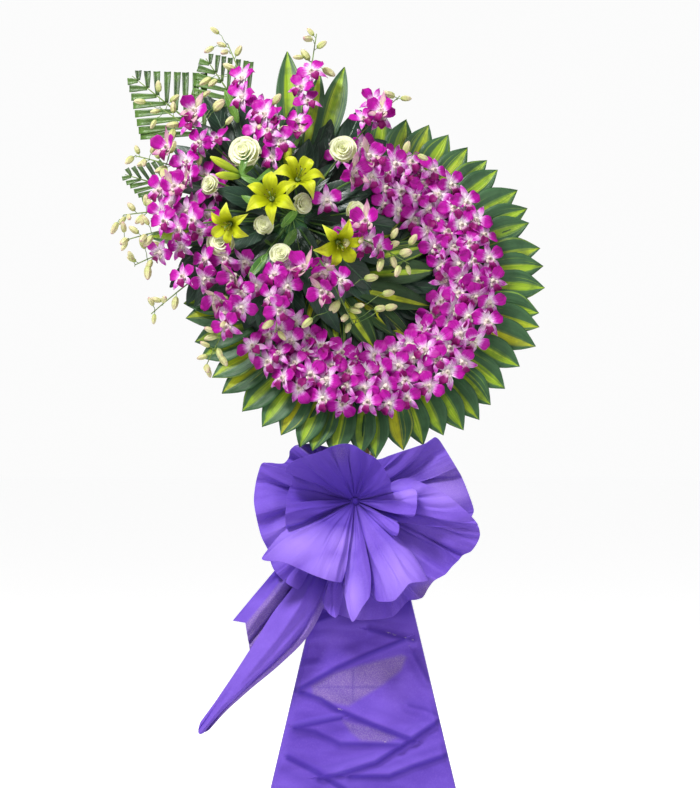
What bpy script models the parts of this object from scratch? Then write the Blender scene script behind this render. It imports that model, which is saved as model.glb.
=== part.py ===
"""A standing funeral wreath: a leaf-covered round on a leaning lath stand, with a bank of orchids,
a corner spray of orchids, lilies, roses and fronds, and a purple cloth skirt and bow.
Metres, +Z up. The wreath faces -Y and the stand's three feet rest on Z = 0."""

import math
import random

import bmesh
import bpy
from mathutils import Matrix, Vector
from mathutils.bvhtree import BVHTree

# The wreath as a whole
FACE_HEIGHT = 1.229  # of the wreath's middle above the floor
FACE_X = 0.066  # these two put the whole object's box round the origin
FACE_Y = -0.068
LEAN = math.radians(12)  # the stand leans back
GAP = 0.0008  # left between pieces that rest on each other
ROOM = 0.0006  # cut round a piece that another would cross
SEED = 11
TRIES = 6  # of a join, before it counts as failed
FLAT_ENOUGH = math.radians(0.4)  # faces that meet flatter than this are one

# The round of leaves
BACKING_RADIUS = 0.285
BACKING_THICK = 0.030
MAT_TOP = 0.0085  # the mat of leaf stalks that the rim leaves come out of
RIM_LEAVES = 52
RIM_ROOT = 0.262
RIM_REACH_ACROSS = 0.400
RIM_REACH_UP = 0.388
RIM_LEAF_HALF_WIDTH = 0.030
RIM_ROOT_OFF = 0.0056
RIM_RISE = 0.05  # of each leaf off the face
RIM_TWIST = 0.20  # of each leaf, which laps it over the next
BLADE_THICK = 0.0011

# The bank of orchids, in blocks round the face
BANK_FROM = math.radians(82)
BANK_TO = math.radians(-152)
BANK_BLOCKS = 6
BANK_INNER = 0.168
BANK_OUTER = 0.262
BANK_BASE = 0.0150
BANK_TOP = 0.040
FLORET_REACH = 0.028
BANK_LAP = 0.28

# The corner spray
HUB_ACROSS = -0.155  # the spray's middle, as the front view shows it, from the wreath's middle
HUB_UP = 0.148
FOAM_SIZE = (0.20, 0.13, 0.045)
FOAM_BASE = 0.018
STEM_RADIUS = 0.0022

# The stand of wooden laths
LATH_WIDE = 0.030
LATH_THICK = 0.020
SLACK = 0.002  # between the laths and the cloth round them
FRONT_LAYER = -BACKING_THICK - GAP  # the front of the legs and post, off the leaf face
BACK_LAYER = FRONT_LAYER - LATH_THICK - GAP  # the front of the crossbars
FLOOR_HALF_WIDTH = 0.2305  # of the skirt, at the floor
NARROWING = 0.237  # of that half width, for each metre of height
LEG_TOP_HEIGHT = 0.86
OVERRUN = 0.05  # of a leg past the floor, before it is trimmed
POST_FOOT_HEIGHT = 0.28
POST_ABOVE_MIDDLE = 0.25
LOW_BAR_HEIGHT = 0.33
HIGH_BAR_HEIGHT = 0.70
REAR_LEG_TOP_HEIGHT = 0.84
REAR_FOOT_BEHIND = 0.60

# The cloth
CLOTH_THICK = 0.0016
SKIRT_HEM = 0.012
SKIRT_TOP = 0.66
SKIRT_COLUMNS = 12
SKIRT_ROWS = 9
SKIRT_FLAP = 0.035  # turned in behind each leg
BAND_LIFT = 0.010  # of each band of the wound cloth over the next
RIPPLE = 0.006
KNOT_ACROSS = -0.0175
KNOT_UP = -0.474
KNOT_OFF = 0.026
BACK_OFF = -0.006

ACROSS = Vector((1, 0, 0))
UPWARD = Vector((0, math.sin(LEAN), math.cos(LEAN)))
OUTWARD = Vector((0, -math.cos(LEAN), math.sin(LEAN)))
MIDDLE = Vector((FACE_X, FACE_Y, FACE_HEIGHT))


# Places on and round the wreath's face


def on_face(across, along, off):
    """A point in the leaning face's own plane, and off it towards the front."""
    return MIDDLE + ACROSS * across + UPWARD * along + OUTWARD * off


def seen(across, up, off):
    """A point as the level front view shows it: across and up from the middle, and off the face."""
    return on_face(across, (up - off * math.sin(LEAN)) / math.cos(LEAN), off)


def polar(radius, angle, off):
    return on_face(radius * math.cos(angle), radius * math.sin(angle), off)


def at_height(across, height, off):
    """A point of the leaning plane at that height above the floor."""
    return seen(across, height - FACE_HEIGHT, off)


def direction(across, up, off):
    return (ACROSS * across + UPWARD * up + OUTWARD * off).normalized()


def posed(point, run, facing):
    """The matrix that puts a piece's root at point, its length along run and its face to facing."""
    y = run.normalized()
    z = (facing - facing.dot(y) * y).normalized()
    x = y.cross(z)
    return Matrix.Translation(point) @ Matrix((x, y, z)).transposed().to_4x4()


def bezier(points, share):
    a, b, c = points
    return a * (1 - share) ** 2 + b * (2 * share * (1 - share)) + c * share**2


def bezier_run(points, share):
    a, b, c = points
    return ((b - a) * (1 - share) + (c - b) * share).normalized()


# Meshes and objects


def material(name, colour, roughness, metallic=0.0):
    made = bpy.data.materials.new(name)
    made.use_nodes = True
    shader = made.node_tree.nodes["Principled BSDF"]
    shader.inputs["Base Color"].default_value = (*colour, 1)
    shader.inputs["Roughness"].default_value = roughness
    shader.inputs["Metallic"].default_value = metallic
    return made


def new_object(name, bm, finish=None):
    bmesh.ops.recalc_face_normals(bm, faces=bm.faces)
    mesh = bpy.data.meshes.new(name)
    bm.to_mesh(mesh)
    bm.free()
    made = bpy.data.objects.new(name, mesh)
    bpy.context.scene.collection.objects.link(made)
    if finish:
        mesh.materials.append(finish)
    return made


def sheet(rows, closed=False):
    """A mesh of quads through rows of points. Points that fall together are merged."""
    bm = bmesh.new()
    grid = [[bm.verts.new(p) for p in row] for row in rows]
    count = len(grid[0])
    for low, high in zip(grid, grid[1:]):
        for i in range(count if closed else count - 1):
            j = (i + 1) % count
            bm.faces.new((low[i], low[j], high[j], high[i]))
    bmesh.ops.remove_doubles(bm, verts=bm.verts, dist=1e-6)
    bmesh.ops.dissolve_degenerate(bm, edges=bm.edges, dist=1e-6)
    return bm


def thicken(bm, thickness):
    bmesh.ops.recalc_face_normals(bm, faces=bm.faces)
    bmesh.ops.solidify(bm, geom=bm.faces[:], thickness=thickness)
    return bm


def tube(points, radii, sides):
    """A closed tube through points, with a radius at each."""
    rows = []
    for i, (point, radius) in enumerate(zip(points, radii)):
        run = (points[min(i + 1, len(points) - 1)] - points[max(i - 1, 0)]).normalized()
        side = run.cross(Vector((0.31, 0.83, 0.47))).normalized()
        other = run.cross(side)
        turns = [2 * math.pi * k / sides for k in range(sides)]
        rows.append([point + side * (radius * math.cos(t)) + other * (radius * math.sin(t)) for t in turns])
    bm = sheet(rows, closed=True)
    bmesh.ops.holes_fill(bm, edges=[e for e in bm.edges if e.is_boundary])
    return bm


def shells(bm):
    """The sets of faces that hold together."""
    left = set(bm.faces)
    found = []
    while left:
        start = left.pop()
        group, edge = {start}, [start]
        while edge:
            for e in edge.pop().edges:
                for f in e.link_faces:
                    if f in left:
                        left.remove(f)
                        group.add(f)
                        edge.append(f)
        found.append(group)
    return found


def shell_volume(faces):
    total = 0.0
    for f in faces:
        corners = [v.co for v in f.verts]
        for b, c in zip(corners[1:], corners[2:]):
            total += corners[0].dot(b.cross(c)) / 6
    return total


def to_triangles(bm):
    """Splits all faces, and turns a diagonal that two of them would share, so that no edge has four faces."""
    source = bm.faces.layers.int.new("source")
    for number, face in enumerate(bm.faces):
        face[source] = number
    bmesh.ops.triangulate(bm, faces=bm.faces)
    for edge in [e for e in bm.edges if len(e.link_faces) == 4]:
        a, b = edge.verts
        for face in edge.link_faces:
            twins = [f for f in edge.link_faces if f[source] == face[source]]
            if len(twins) != 2:
                continue
            c, d = (next(v for v in f.verts if v not in (a, b)) for f in twins)
            if bm.edges.get((c, d)):
                continue
            loop = next(l for l in twins[0].loops if l.vert not in (a, b))
            first, second = loop.link_loop_next.vert, loop.link_loop_prev.vert
            bmesh.ops.delete(bm, geom=twins, context="FACES_ONLY")
            bm.faces.new((c, first, d))
            bm.faces.new((d, second, c))
            break


def main_body(mesh):
    """The mesh in triangles, without the scraps of a cut and the skins of hollows that a union sealed."""
    bm = bmesh.new()
    bm.from_mesh(mesh)
    bmesh.ops.remove_doubles(bm, verts=bm.verts, dist=2e-6)
    bmesh.ops.dissolve_degenerate(bm, edges=bm.edges, dist=2e-6)
    groups = shells(bm)
    main = max(groups, key=shell_volume)
    scraps = [f for group in groups if group is not main for f in group]
    bmesh.ops.delete(bm, geom=scraps, context="FACES")
    bmesh.ops.dissolve_limit(bm, angle_limit=FLAT_ENOUGH, verts=bm.verts, edges=bm.edges)
    to_triangles(bm)
    sound = all(e.is_manifold for e in bm.edges)
    kept = mesh.copy()
    bm.to_mesh(kept)
    bm.free()
    return kept if sound else None


def boolean(obj, others, operation):
    """Joins or cuts obj with the other objects and removes them. A solve that leaves an open mesh is
    tried again with the others moved by a hair."""
    tools = bpy.data.collections.new("tools")
    bpy.context.scene.collection.children.link(tools)
    for other in others:
        tools.objects.link(other)
    modifier = obj.modifiers.new("join", "BOOLEAN")
    modifier.operation = operation
    modifier.operand_type = "COLLECTION"
    modifier.collection = tools
    done = None
    for attempt in range(TRIES):
        nudge = random.Random(attempt)
        for other in others:
            shift = [0.00004 * attempt * nudge.uniform(-1, 1) for axis in range(3)]
            other.data.transform(Matrix.Translation(shift))
        for solver in ("EXACT", "MANIFOLD"):
            modifier.solver = solver
            modifier.use_self = solver == "EXACT" and operation == "UNION"
            graph = bpy.context.evaluated_depsgraph_get()
            result = bpy.data.meshes.new_from_object(obj.evaluated_get(graph))
            done = main_body(result)
            if done:
                break
        if done:
            break
    if not done:
        raise RuntimeError(f"{obj.name} couldn't be joined")
    obj.modifiers.remove(modifier)
    obj.data = done
    for other in others:
        bpy.data.objects.remove(other)
    bpy.data.collections.remove(tools)


def fuse(name, core, parts, finish):
    """One body of a core and the parts whose roots are sunk in it."""
    obj = new_object(name, core, finish)
    boolean(obj, [new_object("piece", part) for part in parts], "UNION")
    return obj


def fattened(obj):
    """A copy a little larger all round, to cut clear room with."""
    bm = bmesh.new()
    bm.from_mesh(obj.data)
    bm.normal_update()
    moves = [v.normal * ROOM for v in bm.verts]
    for v, move in zip(bm.verts, moves):
        v.co += move
    return new_object("room", bm)


def clear_of(obj, others):
    """Cuts room in obj for those of the others that it would cross."""
    bm = bmesh.new()
    bm.from_mesh(obj.data)
    own = BVHTree.FromBMesh(bm)
    bm.free()
    crossing = []
    for other in others:
        room = fattened(other)
        bm = bmesh.new()
        bm.from_mesh(room.data)
        hit = own.overlap(BVHTree.FromBMesh(bm))
        bm.free()
        if hit:
            crossing.append(room)
        else:
            bpy.data.objects.remove(room)
    if crossing:
        boolean(obj, crossing, "DIFFERENCE")


# Leaves and flowers, each modelled with its root at the origin, along +Y and facing +Z


def blade(length, half_width, outline, fold=0.25, arch=0.12, flat=False):
    """A leaf folded along its rib. The outline is (share of length, share of half width) pairs."""
    rows = []
    for share, width in outline:
        half = half_width * width
        lift = -arch * length * share**2
        left, rib, right = (Vector((x, length * share, lift + fold * abs(x))) for x in (-half, 0, half))
        rows.append([left, right] if flat else [left, rib, right])
    return thicken(sheet(rows), BLADE_THICK)


LANCE = ((0, 0.5), (0.5, 1.0), (0.82, 0.62), (1, 0.0))
RIM_OUTLINE = ((0, 0.5), (0.58, 1.0), (1, 0.0))
OVAL = ((0, 0.3), (0.4, 1.0), (0.8, 0.72), (1, 0.0))
TALL_OUTLINE = ((0, 0.22), (0.45, 0.9), (0.68, 1.0), (0.86, 0.62), (1, 0.0))

# An orchid floret's edge: angle in degrees from +X, share of its reach, and lift as a share of its reach
FLORET_EDGE = (
    (2, 0.94, 0.06),
    (42, 0.96, 0.05),
    (66, 0.42, 0.0),
    (90, 1.0, -0.04),
    (114, 0.42, 0.0),
    (138, 0.96, 0.05),
    (178, 0.94, 0.06),
    (204, 0.42, 0.0),
    (230, 1.0, -0.06),
    (270, 0.44, 0.12),
    (310, 1.0, -0.06),
    (336, 0.42, 0.0),
)
NECK = 0.0030


def floret(reach, root_place):
    """An orchid floret: five lobes and a lip round a shallow cup, on a thin stalk that ends at its root."""
    bm = bmesh.new()
    heart = bm.verts.new((0, 0, -0.14 * reach))
    root = bm.verts.new(root_place)
    neck = [bm.verts.new(spun(NECK, math.radians(120 * k + 30), -0.30 * reach)) for k in range(3)]
    edge = []
    for turn, share, lift in FLORET_EDGE:
        edge.append(bm.verts.new(spun(reach * share, math.radians(turn), reach * lift)))
    sides = len(edge)
    for k in range(sides):
        here, after = edge[k], edge[(k + 1) % sides]
        bm.faces.new((heart, here, after))
        first, second = neck[3 * k // sides], neck[3 * (k + 1) // sides % 3]
        bm.faces.new((first, after, here))
        if first is not second:
            bm.faces.new((first, second, after))
    for k in range(3):
        bm.faces.new((root, neck[(k + 1) % 3], neck[k]))
    return bm


def bud(length, radius):
    """A closed bud of three sides, with a point."""
    rows = []
    for share, width in ((0, 0.3), (0.5, 1.0), (1, 0.0)):
        row = []
        for k in range(3):
            turn = 2 * math.pi / 3 * k + math.pi / 2
            out = radius * width
            row.append(Vector((out * math.cos(turn), length * share, out * math.sin(turn))))
        rows.append(row)
    bm = sheet(rows, closed=True)
    bmesh.ops.holes_fill(bm, edges=[e for e in bm.edges if e.is_boundary])
    return bm


# A rose's skin from its base, over the lips of its petal layers, to its heart:
# share of radius, height as a share of radius, and how far the five petals swing it
ROSE_SKIN = (
    (0.22, -0.90, 0.0, 0),
    (1.0, 0.28, 0.10, 0),
    (0.76, 0.10, 0.05, 1),
    (0.70, 0.48, 0.10, 1),
    (0.46, 0.28, 0.05, 0),
    (0.40, 0.56, 0.09, 0),
)
ROSE_SIDES = 10


def rose(radius):
    """A half-open rose of three layers of five petals round a closed heart. It faces +Z."""
    rows = []
    for share, height, swing, layer in ROSE_SKIN:
        row = []
        for k in range(ROSE_SIDES):
            turn = 2 * math.pi * k / ROSE_SIDES
            lobe = math.cos(5 * turn + math.pi * layer)
            r = radius * share * (1 + swing * lobe)
            z = radius * (height + 0.5 * swing * lobe)
            row.append(Vector((r * math.cos(turn), r * math.sin(turn), z)))
        rows.append(row)
    rows.append([Vector((0, 0, radius * 0.42))] * ROSE_SIDES)
    bm = sheet(rows, closed=True)
    bmesh.ops.holes_fill(bm, edges=[e for e in bm.edges if e.is_boundary])
    return bm


def lily(reach):
    """An open lily: six recurved petals that part from one throat. It faces +Z."""
    bm = bmesh.new()
    throat = bm.verts.new((0, 0, -0.34 * reach))
    root = bm.verts.new((0, 0, -0.75 * reach))
    ring, edge = [], []
    for k in range(6):
        turn = math.radians(60 * k + 30)
        wide = 1.0 if k % 2 else 0.84
        ring.append(bm.verts.new(spun(reach * 0.46, turn, reach * 0.02)))
        ring.append(bm.verts.new(spun(reach * 0.24, turn + math.radians(30), -reach * 0.10)))
        for angle, share, lift in ((-17 * wide, 0.60, 0.12), (0, 1.0, -0.10), (17 * wide, 0.60, 0.12)):
            edge.append(bm.verts.new(spun(reach * share, turn + math.radians(angle), reach * lift)))
        edge.append(bm.verts.new(spun(reach * 0.29, turn + math.radians(30), -reach * 0.10)))
    for k in range(6):
        mid, valley, last = ring[2 * k], ring[2 * k + 1], ring[2 * k - 1]
        left, tip, right, notch = edge[4 * k : 4 * k + 4]
        before = edge[4 * k - 1]
        for corners in (
            (throat, last, mid),
            (throat, mid, valley),
            (last, before, left),
            (last, left, mid),
            (mid, left, tip),
            (mid, tip, right),
            (mid, right, valley),
            (valley, right, notch),
            (root, left, before),
            (root, tip, left),
            (root, right, tip),
            (root, notch, right),
        ):
            bm.faces.new(corners)
    return bm


def spun(radius, angle, height):
    return (radius * math.cos(angle), radius * math.sin(angle), height)


def placed(bm, matrix):
    bmesh.ops.transform(bm, matrix=matrix, verts=bm.verts)
    return bm


# The stand


def lath(name, start, end, facing, finish):
    """A straight lath, with its wide side square to facing and its front face through start and end."""
    length = (end - start).length
    bm = bmesh.new()
    bmesh.ops.create_cube(bm, size=1)
    bmesh.ops.scale(bm, vec=(LATH_WIDE, length, LATH_THICK), verts=bm.verts)
    bmesh.ops.translate(bm, vec=(0, length / 2, -LATH_THICK / 2), verts=bm.verts)
    placed(bm, posed(start, end - start, facing))
    return new_object(name, bm, finish)


def trim(obj, point, normal):
    """Cuts off what lies beyond the plane and closes the cut."""
    bm = bmesh.new()
    bm.from_mesh(obj.data)
    cut = bmesh.ops.bisect_plane(
        bm, geom=bm.verts[:] + bm.edges[:] + bm.faces[:], plane_co=point, plane_no=normal, clear_outer=True
    )
    bmesh.ops.holes_fill(bm, edges=[e for e in cut["geom_cut"] if isinstance(e, bmesh.types.BMEdge)])
    bm.to_mesh(obj.data)
    bm.free()


def skirt_half_width(height):
    return FLOOR_HALF_WIDTH - NARROWING * height


def make_stand(wood):
    made = []
    inset = CLOTH_THICK * 2 + LATH_WIDE / 2 + SLACK
    for name, side in (("leg_left", -1), ("leg_right", 1)):
        start = at_height(side * (skirt_half_width(-OVERRUN) - inset), -OVERRUN, FRONT_LAYER)
        half = skirt_half_width(LEG_TOP_HEIGHT) - inset
        end = at_height(side * half, LEG_TOP_HEIGHT, FRONT_LAYER)
        leg = lath(name, start, end, OUTWARD, wood)
        trim(leg, Vector((0, 0, 0)), Vector((0, 0, -1)))
        trim(leg, MIDDLE + ACROSS * side * (LATH_WIDE / 2 + GAP), -ACROSS * side)
        made.append(leg)
    post_top = POST_ABOVE_MIDDLE + FACE_HEIGHT
    foot = at_height(0, POST_FOOT_HEIGHT, FRONT_LAYER)
    made.append(lath("centre_post", foot, at_height(0, post_top, FRONT_LAYER), OUTWARD, wood))
    for name, height in (("crossbar_low", LOW_BAR_HEIGHT), ("crossbar_high", HIGH_BAR_HEIGHT)):
        half = skirt_half_width(height) - CLOTH_THICK * 2 - SLACK
        ends = [at_height(side * half, height, BACK_LAYER) for side in (-1, 1)]
        made.append(lath(name, *ends, OUTWARD, wood))
    top = at_height(0, REAR_LEG_TOP_HEIGHT, FRONT_LAYER)
    front_foot = at_height(0, 0, FRONT_LAYER)
    rear_foot = Vector((FACE_X, front_foot.y + REAR_FOOT_BEHIND, 0))
    run = (rear_foot - top).normalized()
    facing = Vector((0, -1, 0))
    rear = lath("rear_leg", top, rear_foot + run * OVERRUN, facing, wood)
    trim(rear, Vector((0, 0, 0)), Vector((0, 0, -1)))
    trim(rear, at_height(0, 0, BACK_LAYER), OUTWARD)
    made.append(rear)
    return made


# The cloth skirt and bow


def skirt_fold(across, height):
    """How far the wound cloth stands off its frame: slanting bands lapped over each other."""
    slant = 8.5 * height + 3.2 * across
    lap = slant - math.floor(slant)
    cross = 6 * height - 5 * across
    fade = min(1.0, max(0.25, (0.62 - height) / 0.12))
    return fade * (BAND_LIFT * lap + RIPPLE * (1 + math.sin(2 * math.pi * cross)) / 2)


def make_skirt(cloth):
    """The cloth wound round the legs: a front, two sides and a flap turned in behind each leg."""
    front = FRONT_LAYER + 0.0006 + CLOTH_THICK
    back = BACK_LAYER - LATH_THICK - SLACK
    rows = []
    for j in range(SKIRT_ROWS):
        height = SKIRT_HEM + (SKIRT_TOP - SKIRT_HEM) * j / (SKIRT_ROWS - 1)
        half = skirt_half_width(height)
        flap = min(SKIRT_FLAP, 0.42 * half)
        row = [(-half + flap, back), (-half, back), (-half, front)]
        for i in range(1, SKIRT_COLUMNS - 1):
            across = -half + 2 * half * i / (SKIRT_COLUMNS - 1)
            row.append((across, front + skirt_fold(across, height)))
        row += [(half, front), (half, back), (half - flap, back)]
        rows.append([at_height(across, height, off) for across, off in row])
    return new_object("skirt", thicken(sheet(rows), CLOTH_THICK), cloth)


# The edges of the bow's two gathered layers: angle round the knot in degrees, reach, and height off the knot
FRONT_EDGE = (
    (-180, 0.150, 0.030),
    (-168, 0.165, 0.060),
    (-157, 0.180, 0.022),
    (-148, 0.240, 0.066),
    (-125, 0.205, 0.088),
    (-104, 0.190, 0.080),
    (-97, 0.205, 0.018),
    (-90, 0.250, 0.072),
    (-83, 0.225, 0.074),
    (-77, 0.200, 0.012),
    (-68, 0.222, 0.076),
    (-52, 0.232, 0.066),
    (-43, 0.200, 0.008),
    (-31, 0.150, 0.052),
    (-22, 0.135, 0.012),
    (-8, 0.135, 0.064),
    (6, 0.135, 0.062),
    (18, 0.105, 0.024),
    (40, 0.095, 0.064),
    (70, 0.106, 0.080),
    (100, 0.120, 0.084),
    (128, 0.132, 0.074),
    (152, 0.146, 0.052),
    (166, 0.140, 0.018),
)
BACK_EDGE = (
    (-180, 0.219, 0.020),
    (-165, 0.217, 0.002),
    (-150, 0.228, 0.012),
    (-138, 0.234, -0.002),
    (-124, 0.222, 0.016),
    (-111, 0.222, 0.002),
    (-99, 0.254, 0.020),
    (-88, 0.262, 0.000),
    (-74, 0.262, 0.018),
    (-62, 0.258, 0.002),
    (-52, 0.246, 0.020),
    (-42, 0.248, 0.000),
    (-27, 0.278, 0.020),
    (-14, 0.281, 0.036),
    (-2, 0.262, 0.012),
    (14, 0.235, 0.000),
    (28, 0.228, 0.014),
    (38, 0.222, -0.004),
    (48, 0.176, 0.006),
    (66, 0.118, -0.004),
    (90, 0.108, 0.004),
    (110, 0.130, -0.004),
    (125, 0.166, 0.006),
    (138, 0.160, -0.006),
    (150, 0.190, 0.010),
    (161, 0.214, -0.002),
    (171, 0.220, 0.012),
)
GATHER_RINGS = (0.0, 0.35, 0.7, 1.0)
GATHER_RADIUS = 0.0125
CUPPING = 1.15  # above 1, a layer rises faster towards its edge


def make_gathered(name, edge, base, cloth):
    """A layer of the bow: cloth gathered at the knot, whose folds deepen towards its edge."""
    rows = []
    for share in GATHER_RINGS:
        row = []
        for degrees, reach, off in edge:
            turn = math.radians(degrees)
            r = GATHER_RADIUS + (reach - GATHER_RADIUS) * share
            point_off = base + off * share**CUPPING
            row.append(seen(KNOT_ACROSS + r * math.cos(turn), KNOT_UP + r * math.sin(turn), point_off))
        rows.append(row)
    return new_object(name, thicken(sheet(rows, closed=True), CLOTH_THICK), cloth)


# A tail of the bow: across and up from the wreath's middle, half width, and off the face
LONG_TAIL = (
    (-0.105, -0.640, 0.030, 0.000),
    (-0.138, -0.700, 0.046, 0.012),
    (-0.182, -0.775, 0.050, 0.020),
    (-0.236, -0.850, 0.034, 0.018),
    (-0.290, -0.915, 0.017, 0.010),
    (-0.350, -0.962, 0.012, 0.004),
)
SHORT_TAIL = (
    (-0.125, -0.600, 0.026, -0.022),
    (-0.170, -0.655, 0.036, -0.016),
    (-0.212, -0.706, 0.040, -0.014),
    (-0.252, -0.768, 0.034, -0.012),
)


def make_tail(name, stations, roll, cloth):
    rows = []
    for k, (across, up, half, off) in enumerate(stations):
        before = stations[max(k - 1, 0)]
        after = stations[min(k + 1, len(stations) - 1)]
        run = Vector((after[0] - before[0], after[1] - before[1])).normalized()
        side = Vector((-run.y, run.x))
        row = []
        for i in range(5):
            part = -1 + 0.5 * i
            bow = roll * half * (1 - part * part)
            row.append(seen(across + side.x * half * part, up + side.y * half * part, off + bow))
        rows.append(row)
    return new_object(name, thicken(sheet(rows), CLOTH_THICK), cloth)


# The knot band from the post to its front: off the face, and radius
KNOT_LINE = (
    (-0.027, 0.0105),
    (KNOT_OFF, 0.0105),
    (KNOT_OFF + 0.012, 0.0095),
    (KNOT_OFF + 0.016, 0.004),
)


def make_knot(cloth):
    """The band that gathers the bow, round the ruffle's neck and back to the post."""
    points = [seen(KNOT_ACROSS, KNOT_UP, off) for off, radius in KNOT_LINE]
    return new_object("bow_knot", tube(points, [radius for off, radius in KNOT_LINE], 8), cloth)


# The round of leaves


def make_backing(straw):
    bm = bmesh.new()
    bmesh.ops.create_cone(
        bm, cap_ends=True, segments=40, radius1=BACKING_RADIUS, radius2=BACKING_RADIUS, depth=BACKING_THICK
    )
    placed(bm, posed(on_face(0, 0, -BACKING_THICK / 2), UPWARD, OUTWARD))
    return new_object("backing_round", bm, straw)


def mat_core(radius, low, high, sides):
    bm = bmesh.new()
    bmesh.ops.create_cone(bm, cap_ends=True, segments=sides, radius1=radius, radius2=radius, depth=high - low)
    return placed(bm, posed(on_face(0, 0, (low + high) / 2), UPWARD, OUTWARD))


def rim_reach(angle):
    """How far the leaf tips reach, on an oval a little wider than tall."""
    return 1 / math.hypot(math.cos(angle) / RIM_REACH_ACROSS, math.sin(angle) / RIM_REACH_UP)


def make_rim_leaves(green):
    """The pointed leaves stapled round the rim, each lapped over the next."""
    draw = random.Random(SEED)
    leaves = []
    for k in range(RIM_LEAVES):
        angle = 2 * math.pi * (k + 0.25 * draw.uniform(-1, 1)) / RIM_LEAVES
        reach = rim_reach(angle) * (1 + 0.018 * draw.uniform(-1, 1))
        radial = direction(math.cos(angle), math.sin(angle), RIM_RISE)
        sideways = direction(-math.sin(angle), math.cos(angle), 0)
        facing = OUTWARD - sideways * RIM_TWIST
        root = polar(RIM_ROOT, angle, RIM_ROOT_OFF)
        length = reach - RIM_ROOT
        half = RIM_LEAF_HALF_WIDTH * draw.uniform(0.94, 1.06)
        leaf = blade(length, half, RIM_OUTLINE, fold=0, arch=0.02, flat=True)
        leaves.append(placed(leaf, posed(root, radial, facing)))
    core = mat_core(BACKING_RADIUS - 0.004, GAP, MAT_TOP, RIM_LEAVES // 2)
    return fuse("rim_leaves", core, leaves, green)


# The striped leaves that show in the middle of the round: root and tip, as the front view shows them,
# half width, and off the face
CENTRE_LEAVES = (
    ((-0.055, 0.060), (0.150, 0.142), 0.030, 0.016),
    ((-0.045, 0.035), (0.158, 0.088), 0.034, 0.026),
    ((-0.030, 0.020), (0.160, 0.030), 0.040, 0.020),
    ((-0.030, -0.005), (0.150, -0.050), 0.036, 0.028),
    ((-0.030, -0.020), (0.105, -0.125), 0.034, 0.016),
    ((-0.060, -0.010), (0.030, -0.150), 0.034, 0.026),
    ((-0.080, -0.005), (-0.050, -0.152), 0.034, 0.016),
    ((-0.090, 0.010), (-0.125, -0.100), 0.034, 0.028),
    ((-0.030, 0.080), (0.090, 0.155), 0.030, 0.030),
)

CENTRE_MAT = (-0.050, 0.020, 0.060, 0.030)  # across, up, radius, and its top off the face


def make_centre_leaves(green):
    leaves = []
    for (a, b), (c, d), half, off in CENTRE_LEAVES:
        root = seen(a, b, off - 0.006)
        tip = seen(c, d, off + 0.006)
        leaf = blade((tip - root).length, half * 0.62, LANCE, fold=0.30, arch=0.02)
        leaves.append(placed(leaf, posed(root, tip - root, OUTWARD)))
    across, up, radius, top = CENTRE_MAT
    core = mat_core(radius, MAT_TOP + GAP, top, 12)
    placed(core, Matrix.Translation(ACROSS * across + UPWARD * up))
    return fuse("centre_leaves", core, leaves, green)


# The bank of orchids

# Across the bank: radius, height off the face, and tilt of the florets in degrees
BANK_ROWS = (
    (0.178, 0.046, -6, 3),
    (0.212, 0.056, 3, 4),
    (0.247, 0.060, 12, 4),
    (0.283, 0.056, 26, 4),
)


def bank_spots(block):
    """Where each floret of a block sits and faces: the same places that the finished flowers take."""
    draw = random.Random(SEED + 100 + block)
    span = (BANK_TO - BANK_FROM) / BANK_BLOCKS
    spots = []
    for row, (radius, off, tilt, count) in enumerate(BANK_ROWS):
        for k in range(count):
            share = (k + 0.5 + 0.12 * draw.uniform(-1, 1)) / count
            angle = BANK_FROM + span * (block + share)
            r = radius + 0.004 * draw.uniform(-1, 1)
            lean = math.radians(tilt + 3 * draw.uniform(-1, 1))
            spin = draw.uniform(-0.7, 0.7)
            size = FLORET_REACH * draw.uniform(0.90, 1.06)
            height = off + 0.001 * draw.uniform(-1, 1)
            spots.append((r, angle, height, lean, spin, size))
    return spots


def bank_floret(spot):
    """A floret of the bank, turned a little along the round so that each laps over the next."""
    r, angle, off, lean, spin, size = spot
    across = math.cos(angle) * math.sin(lean) + math.sin(angle) * BANK_LAP
    up = math.sin(angle) * math.sin(lean) - math.cos(angle) * BANK_LAP
    facing = direction(across, up, math.cos(lean))
    run = direction(math.sin(spin), math.cos(spin), 0)
    pose = posed(polar(r, angle, off), run - facing * run.dot(facing), facing)
    root = polar(min(max(r, BANK_INNER + 0.012), BANK_OUTER - 0.012), angle, BANK_TOP - 0.012)
    return placed(floret(size, pose.inverted() @ root), pose)


def bank_core(block):
    """A block of floral foam bent to the round, with its front edges cut back."""
    span = (BANK_TO - BANK_FROM) / BANK_BLOCKS
    short = 0.5 * GAP / BANK_INNER
    start = BANK_FROM + span * block - short
    end = BANK_FROM + span * (block + 1) + short
    slope = 0.014
    section = (
        (BANK_INNER, BANK_BASE),
        (BANK_OUTER, BANK_BASE),
        (BANK_OUTER, BANK_TOP - slope),
        (BANK_OUTER - 0.022, BANK_TOP),
        (BANK_INNER + 0.022, BANK_TOP),
        (BANK_INNER, BANK_TOP - slope),
    )
    rows = []
    for k in range(5):
        angle = start + (end - start) * k / 4
        rows.append([polar(r, angle, off) for r, off in section])
    bm = sheet(rows, closed=True)
    bmesh.ops.holes_fill(bm, edges=[e for e in bm.edges if e.is_boundary], sides=6)
    return bm


def make_banks(magenta):
    made = []
    for block in range(BANK_BLOCKS):
        florets = [bank_floret(spot) for spot in bank_spots(block)]
        bank = fuse(f"orchid_bank_{block + 1}", bank_core(block), florets, magenta)
        made.append(bank)
    return made


# The corner spray


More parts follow.
